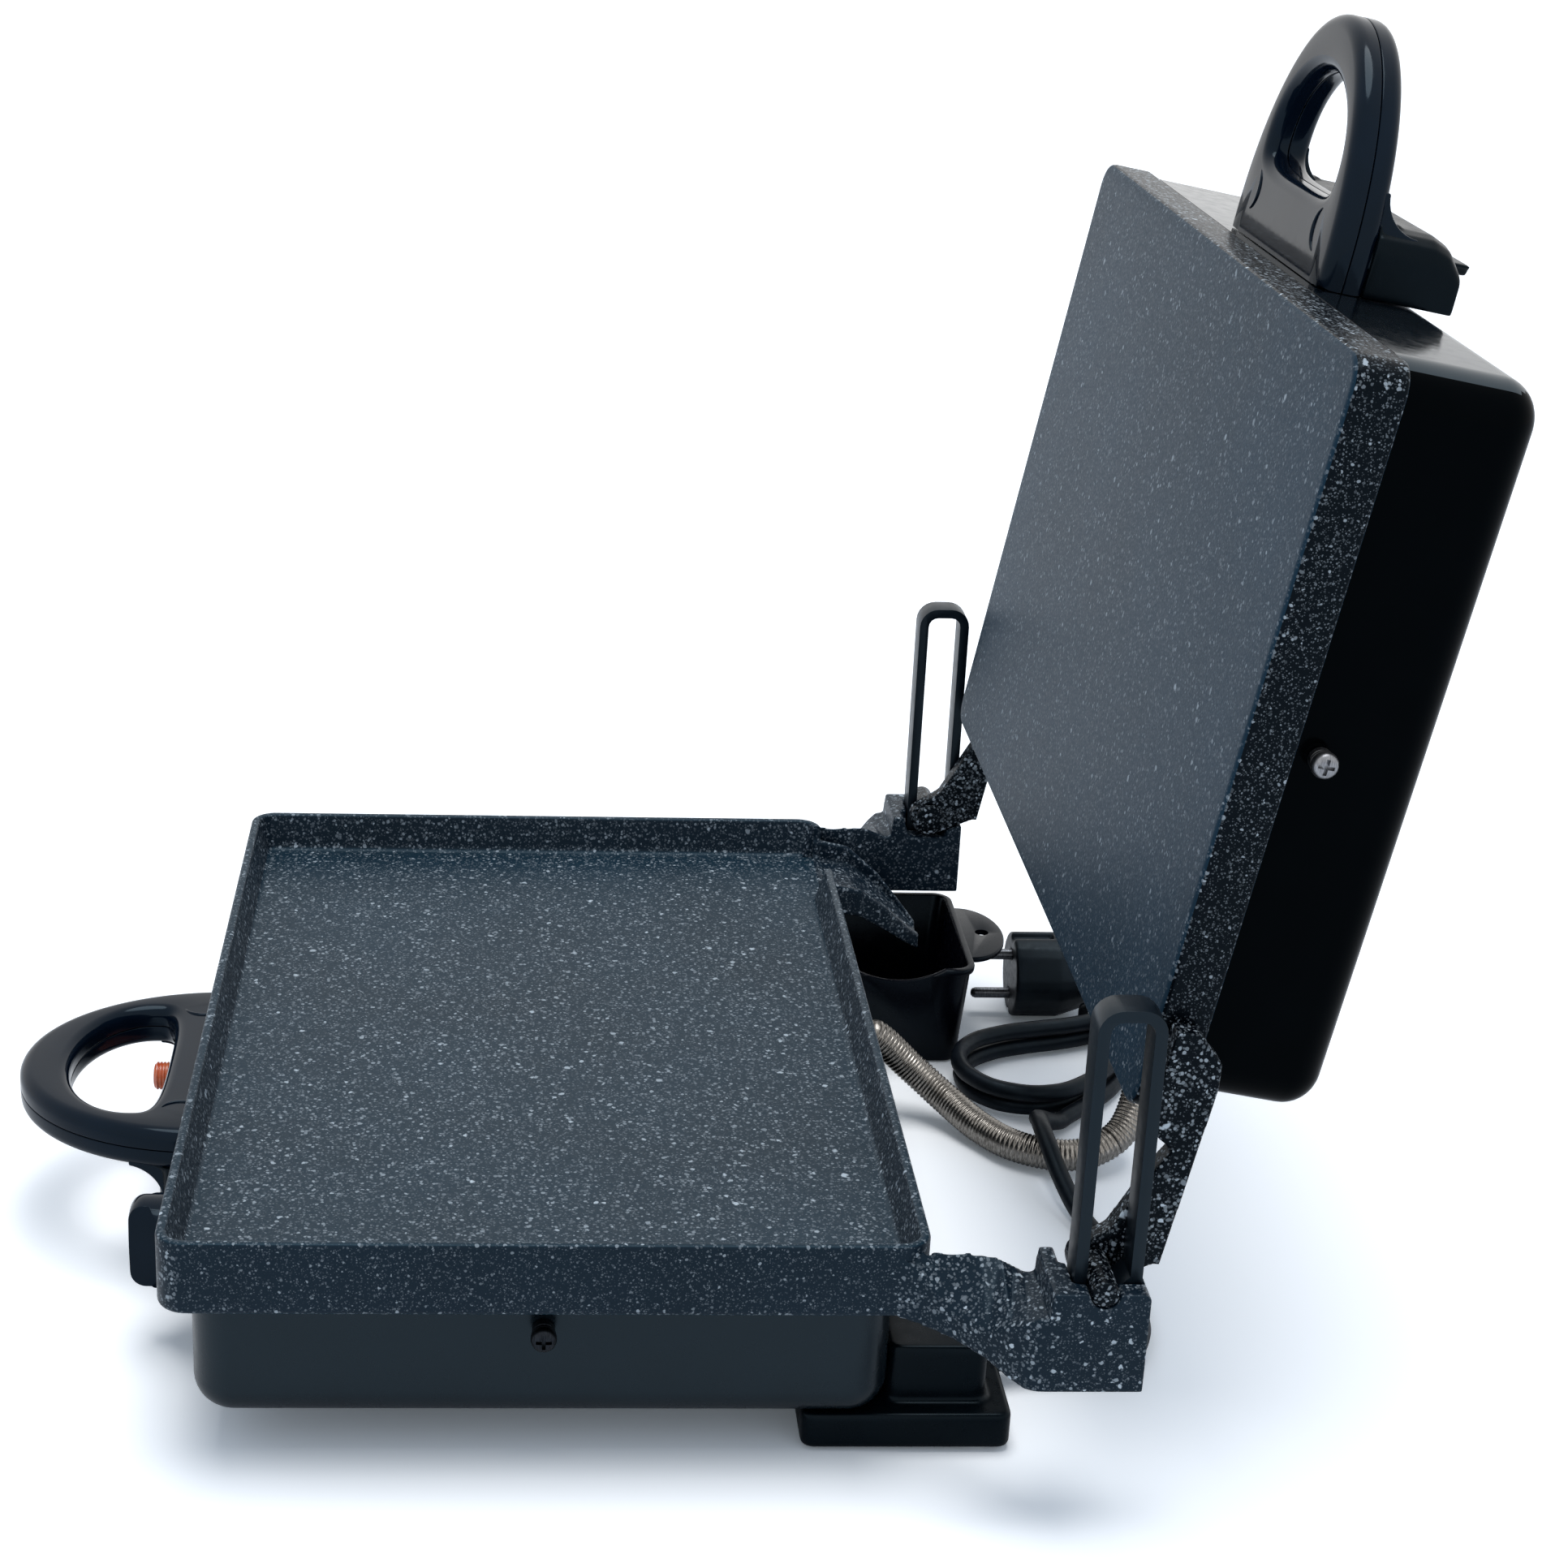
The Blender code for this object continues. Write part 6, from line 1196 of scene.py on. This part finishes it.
add_piece("amber_lens", lens_mesh, amber.material, "base", ("pilot_lens",))
for node in ("rear_block", "rear_foot_far"):
    mould = softened(node, 0.0009, 5)
    add_piece(node + "_moulding", mould, block_plastic, "base", (node,), 180)
    print(node, len(mould.polygons))

# %% [markdown]
# ## Drip cup
#
# The cup is a thin tapered moulding with a rolled lip, a dip in the edge on one side and a flat tab behind, with a
# hole to hang it by. A loft gives the wall, and the tab and the cuts are Booleans with eased edges.

# %% Wall of the cup
CUP_HEIGHT = 0.046
CUP_WIDTH, CUP_DEPTH, CUP_FLARE = 0.075, 0.056, 0.007
CUP_CORNER = 0.007
# Height and growth of the outline: inside from the floor up, over the rolled lip, and down the outside
CUP_INSIDE = ((0.0018, -0.0045), (0.0022, -0.0030), (0.0032, -0.0021), (0.0048, -0.0018))
# The same for the lip, with heights from the top down
CUP_LIP = (
    (0.0006, -0.0018), (0.0001, -0.0015), (0.0, -0.0010), (0.0, 0.0009), (0.0002, 0.0013), (0.0006, 0.0015),
    (0.0024, 0.0015), (0.0029, 0.0013), (0.0031, 0.0008), (0.0034, 0.0),
)
CUP_OUTSIDE = ((0.0022, 0.0), (0.0007, -0.0005), (0.0001, -0.0016), (0.0, -0.0030))


def cup_ring(height, grow):
    """The cup's outline at a height; it widens upwards."""
    wider = CUP_FLARE * height / CUP_HEIGHT + 2 * grow
    outline = rounded_rect(CUP_WIDTH + wider, CUP_DEPTH + wider, CUP_CORNER + grow, 10)
    return [(x, y, height) for x, y in outline]


profile = [*CUP_INSIDE, *((CUP_HEIGHT - down, grow) for down, grow in CUP_LIP), *CUP_OUTSIDE]
cup = skin([cup_ring(*pair) for pair in profile])
print("cup rings", len(profile))

# %% Tab, dip and edges of the cup
TAB_HALF, TAB_BACK, TAB_MIDDLE, TAB_REACH = 0.027, 0.0297, 0.0333, 0.0174
TAB_LOW, TAB_HIGH = 0.0427, 0.0452
TAB_STEPS = 30
TAB_HOLE, TAB_HOLE_RADIUS = 0.0413, 0.0030
DIP_HALF, DIP_DEEP = 0.020, 0.006
CUP_PLACE = (-0.1585, 0.155, 0.0)
tab = [(TAB_HALF, TAB_BACK), (-TAB_HALF, TAB_BACK)]
for step in range(TAB_STEPS + 1):
    angle = math.pi * (1 - step / TAB_STEPS)
    tab.append((TAB_HALF * math.cos(angle), TAB_MIDDLE + TAB_REACH * math.sin(angle)))
tab_mesh = bevelled(skin([[(x, y, height) for x, y in tab] for height in (TAB_LOW, TAB_HIGH)]), 0.0007, 52)
tab_mesh = cut(tab_mesh, rod((0.0, TAB_HOLE, 0.040), (0.0, TAB_HOLE, 0.050), TAB_HOLE_RADIUS))
cup = worked(cup, ("BOOLEAN", {"operation": "UNION", "solver": "EXACT", "object": tab_mesh}))
dip_radius = (DIP_HALF ** 2 + DIP_DEEP ** 2) / (2 * DIP_DEEP)
dip_level = CUP_HEIGHT - DIP_DEEP + dip_radius
cup = cut(cup, rod((CUP_WIDTH / 2, 0.0, dip_level), (0.050, 0.0, dip_level), dip_radius, 160))
cup = bevelled(cup, 0.0003, 55, 2)
cup.transform(Matrix.Translation(at(*CUP_PLACE)))
add_piece("drip_cup_moulding", cup, cup_plastic, "cup", ("drip_cup",), 35)
print("cup", len(cup.polygons))

# %% [markdown]
# ## Screws
#
# A shell is held by a screw at each side, which stands off on a collar and a spring washer. The head is a low dome
# with a cross recess. The lower shell's screws are blackened, and the lid's are bright.

# %% Side screws
# Radius and distance past the shell's wall: shank, collar, washers, head
SCREW_PROFILE = (
    (AXIS, -0.012), (0.0020, -0.012), (0.0020, 0.0003), (0.0034, 0.0003), (0.0038, 0.0007), (0.0038, 0.0031),
    (0.0034, 0.0034), (0.0034, 0.0037), (0.0041, 0.0039), (0.0041, 0.0050), (0.0036, 0.0052), (0.0036, 0.0054),
    (0.0043, 0.0056), (0.0043, 0.0066), (0.0040, 0.0077), (0.0032, 0.0085), (0.0018, 0.0088), (AXIS, 0.0088),
)
CROSS_LONG, CROSS_WIDE, CROSS_FLOOR, CROSS_TOP = 0.0026, 0.0006, 0.0070, 0.010


def cross_screw(side, seat, place):
    """A screw along X on a shell's side wall, at a place (along, level) in the shell's frame."""
    mesh = turned([(radius, COVER_HALF_WIDTH + past) for radius, past in SCREW_PROFILE], 40)
    for across, along in ((CROSS_LONG, CROSS_WIDE), (CROSS_WIDE, CROSS_LONG)):
        low = (-across, -along, COVER_HALF_WIDTH + CROSS_FLOOR)
        mesh = cut(mesh, box_mesh(low, (across, along, COVER_HALF_WIDTH + CROSS_TOP)))
    mesh.transform(Matrix.Rotation(side * QUARTER_TURN, 4, "Y"))
    mesh.transform(seat @ Matrix.Translation((0.0, *place)))
    return mesh


for side, word in ((1, "near"), (-1, "far")):
    mesh = cross_screw(side, pan_middle, SHELL_SCREW)
    add_piece("shell_screw_" + word, mesh, dark_screw_metal, "base", ("side_screw_" + word,), 35)
    mesh = cross_screw(side, lid_seat, LID_SHELL_SCREW)
    add_piece("lid_shell_screw_" + word, mesh, zinc_metal, "lid", ("lid_screw_" + word,), 35)
    print("screws", word, len(mesh.polygons))

# %% [markdown]
# ## Solids that stay
#
# The heating elements, clamps, insulation, thermostat, terminals, feet and small fasteners keep their packed
# solids. Each gets a procedural finish and a weld that joins its split corners, and all but the elements, the
# thermostat shaft and the clamps get a small bevel that breaks their edges.

# %% Finishes of the imported solids
# Finish, width of the broken edges, solids
KEPT = (
    (pin_metal, 0, ("lower_element", "lid_element", "thermostat_shaft")),
    (zinc_metal, 0, ("lower_element_clamp", "lid_element_clamp")),
    (ceramic_white, 0.0003, ("thermostat_body", "terminal_strip", "pilot_lamp_body")),
    (ceramic_white, 0.0002, ("rear_pad_near", "rear_pad_far")),
    (mica_sheet, 0.0004, ("lower_insulation", "lid_insulation")),
    (foot_rubber, 0.0006, ("front_foot_near", "front_foot_far")),
    (block_plastic, 0.0003, ("rear_block_plate",)),
    (zinc_metal, 0.0003, ("conduit_gland_base", "conduit_gland_lid")),
    (zinc_metal, 0.0002, (
        "thermostat_nut", "loop_screw_near", "loop_screw_far", "side_nut_near", "side_nut_far", "lid_nut_near",
        "lid_nut_far", "lower_handle_screw_one", "lower_handle_screw_two", "upper_handle_screw_one",
        "upper_handle_screw_two",
    )),
)


def finished(solid, material, width):
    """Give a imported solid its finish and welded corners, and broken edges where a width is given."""
    if not solid.material_slots:
        solid.data.materials.append(material)
    for slot in solid.material_slots:
        slot.material = material
    weld = solid.modifiers.new("weld", "WELD")
    weld.merge_threshold = WELD
    if width:
        bevel = solid.modifiers.new("edge", "BEVEL")
        bevel.width = width
        bevel.segments = 2
        bevel.limit_method = "ANGLE"
        bevel.angle_limit = math.radians(35)
    for face in solid.data.polygons:
        face.use_smooth = True
    splitter = solid.modifiers.new("split", "EDGE_SPLIT")
    splitter.split_angle = math.radians(38)


for material, width, names in KEPT:
    for name in names:
        finished(nodes[name], material, width)
    print(material.name, "on", len(names), "solids")

# %% [markdown]
# ## Floor, background and light
#
# The grill stands on a plain pale floor under a large soft lamp. The background is white where the camera, a
# reflection or a refraction looks at it, and a soft blue-grey elsewhere, so the light on the object stays plain.

# %% Floor
FLOOR_HALF = 6.0
FLOOR_SHEET = 0.010
floor_finish = Finish("studio_floor", 0.85, specular=0.2)
pale = floor_finish.remap(floor_finish.noise(2.0, 4.0), 0.3, 0.7)
floor_finish.colour(floor_finish.blend(pale, (0.92, 0.935, 0.95, 1.0), (0.94, 0.95, 0.96, 1.0)))
bright = floor_finish.node("ShaderNodeBsdfDiffuse", Color=(1.36, 1.38, 1.40, 1.0))
lift = floor_finish.node("ShaderNodeEmission", Color=(0.85, 0.95, 1.0, 1.0), Strength=0.06)
seen_floor = floor_finish.node("ShaderNodeAddShader")
floor_finish.feed(seen_floor.inputs[0], bright.outputs["BSDF"])
floor_finish.feed(seen_floor.inputs[1], lift.outputs["Emission"])
rays = floor_finish.node("ShaderNodeLightPath")
either = floor_finish.node("ShaderNodeMixShader", Fac=rays.outputs["Is Camera Ray"])
floor_finish.feed(either.inputs[1], floor_finish.shader.outputs["BSDF"])
floor_finish.feed(either.inputs[2], seen_floor.outputs["Shader"])
floor_finish.feed(floor_finish.tree.nodes["Material Output"].inputs["Surface"], either.outputs["Shader"])
floor_mesh = box_mesh((-FLOOR_HALF, -FLOOR_HALF, -FLOOR_SHEET), (FLOOR_HALF, FLOOR_HALF, 0.0))
floor_mesh.materials.append(floor_finish.material)
floor = linked("studio_floor", floor_mesh)
print("floor", floor.name)

# %% Background
world = bpy.data.worlds.new("studio_world")
bpy.context.scene.world = world
world.use_nodes = True
backdrop = Recipe(world.node_tree)
rays = backdrop.node("ShaderNodeLightPath").outputs
looked_at = backdrop.maths("MAXIMUM", rays["Is Camera Ray"], rays["Is Glossy Ray"])
looked_at = backdrop.maths("MAXIMUM", looked_at, rays["Is Transmission Ray"])
seen_colour = backdrop.blend(looked_at, (0.40, 0.45, 0.52, 1.0), WHITE)
backdrop.feed(world.node_tree.nodes["Background"].inputs["Color"], seen_colour)
print("world", world.name)

# %% Lamp
LAMP_STRENGTH = 1.80
LAMP_SPREAD = math.radians(40)
LAMP_HEADING = (0.04, -0.04, -1.0)
lamp_data = bpy.data.lights.new("overhead_softbox", "SUN")
lamp_data.energy = LAMP_STRENGTH
lamp_data.angle = LAMP_SPREAD
lamp = linked("overhead_softbox", lamp_data)
lamp.rotation_euler = Vector(LAMP_HEADING).to_track_quat("-Z", "Y").to_euler()
print("lamp", lamp_data.name)
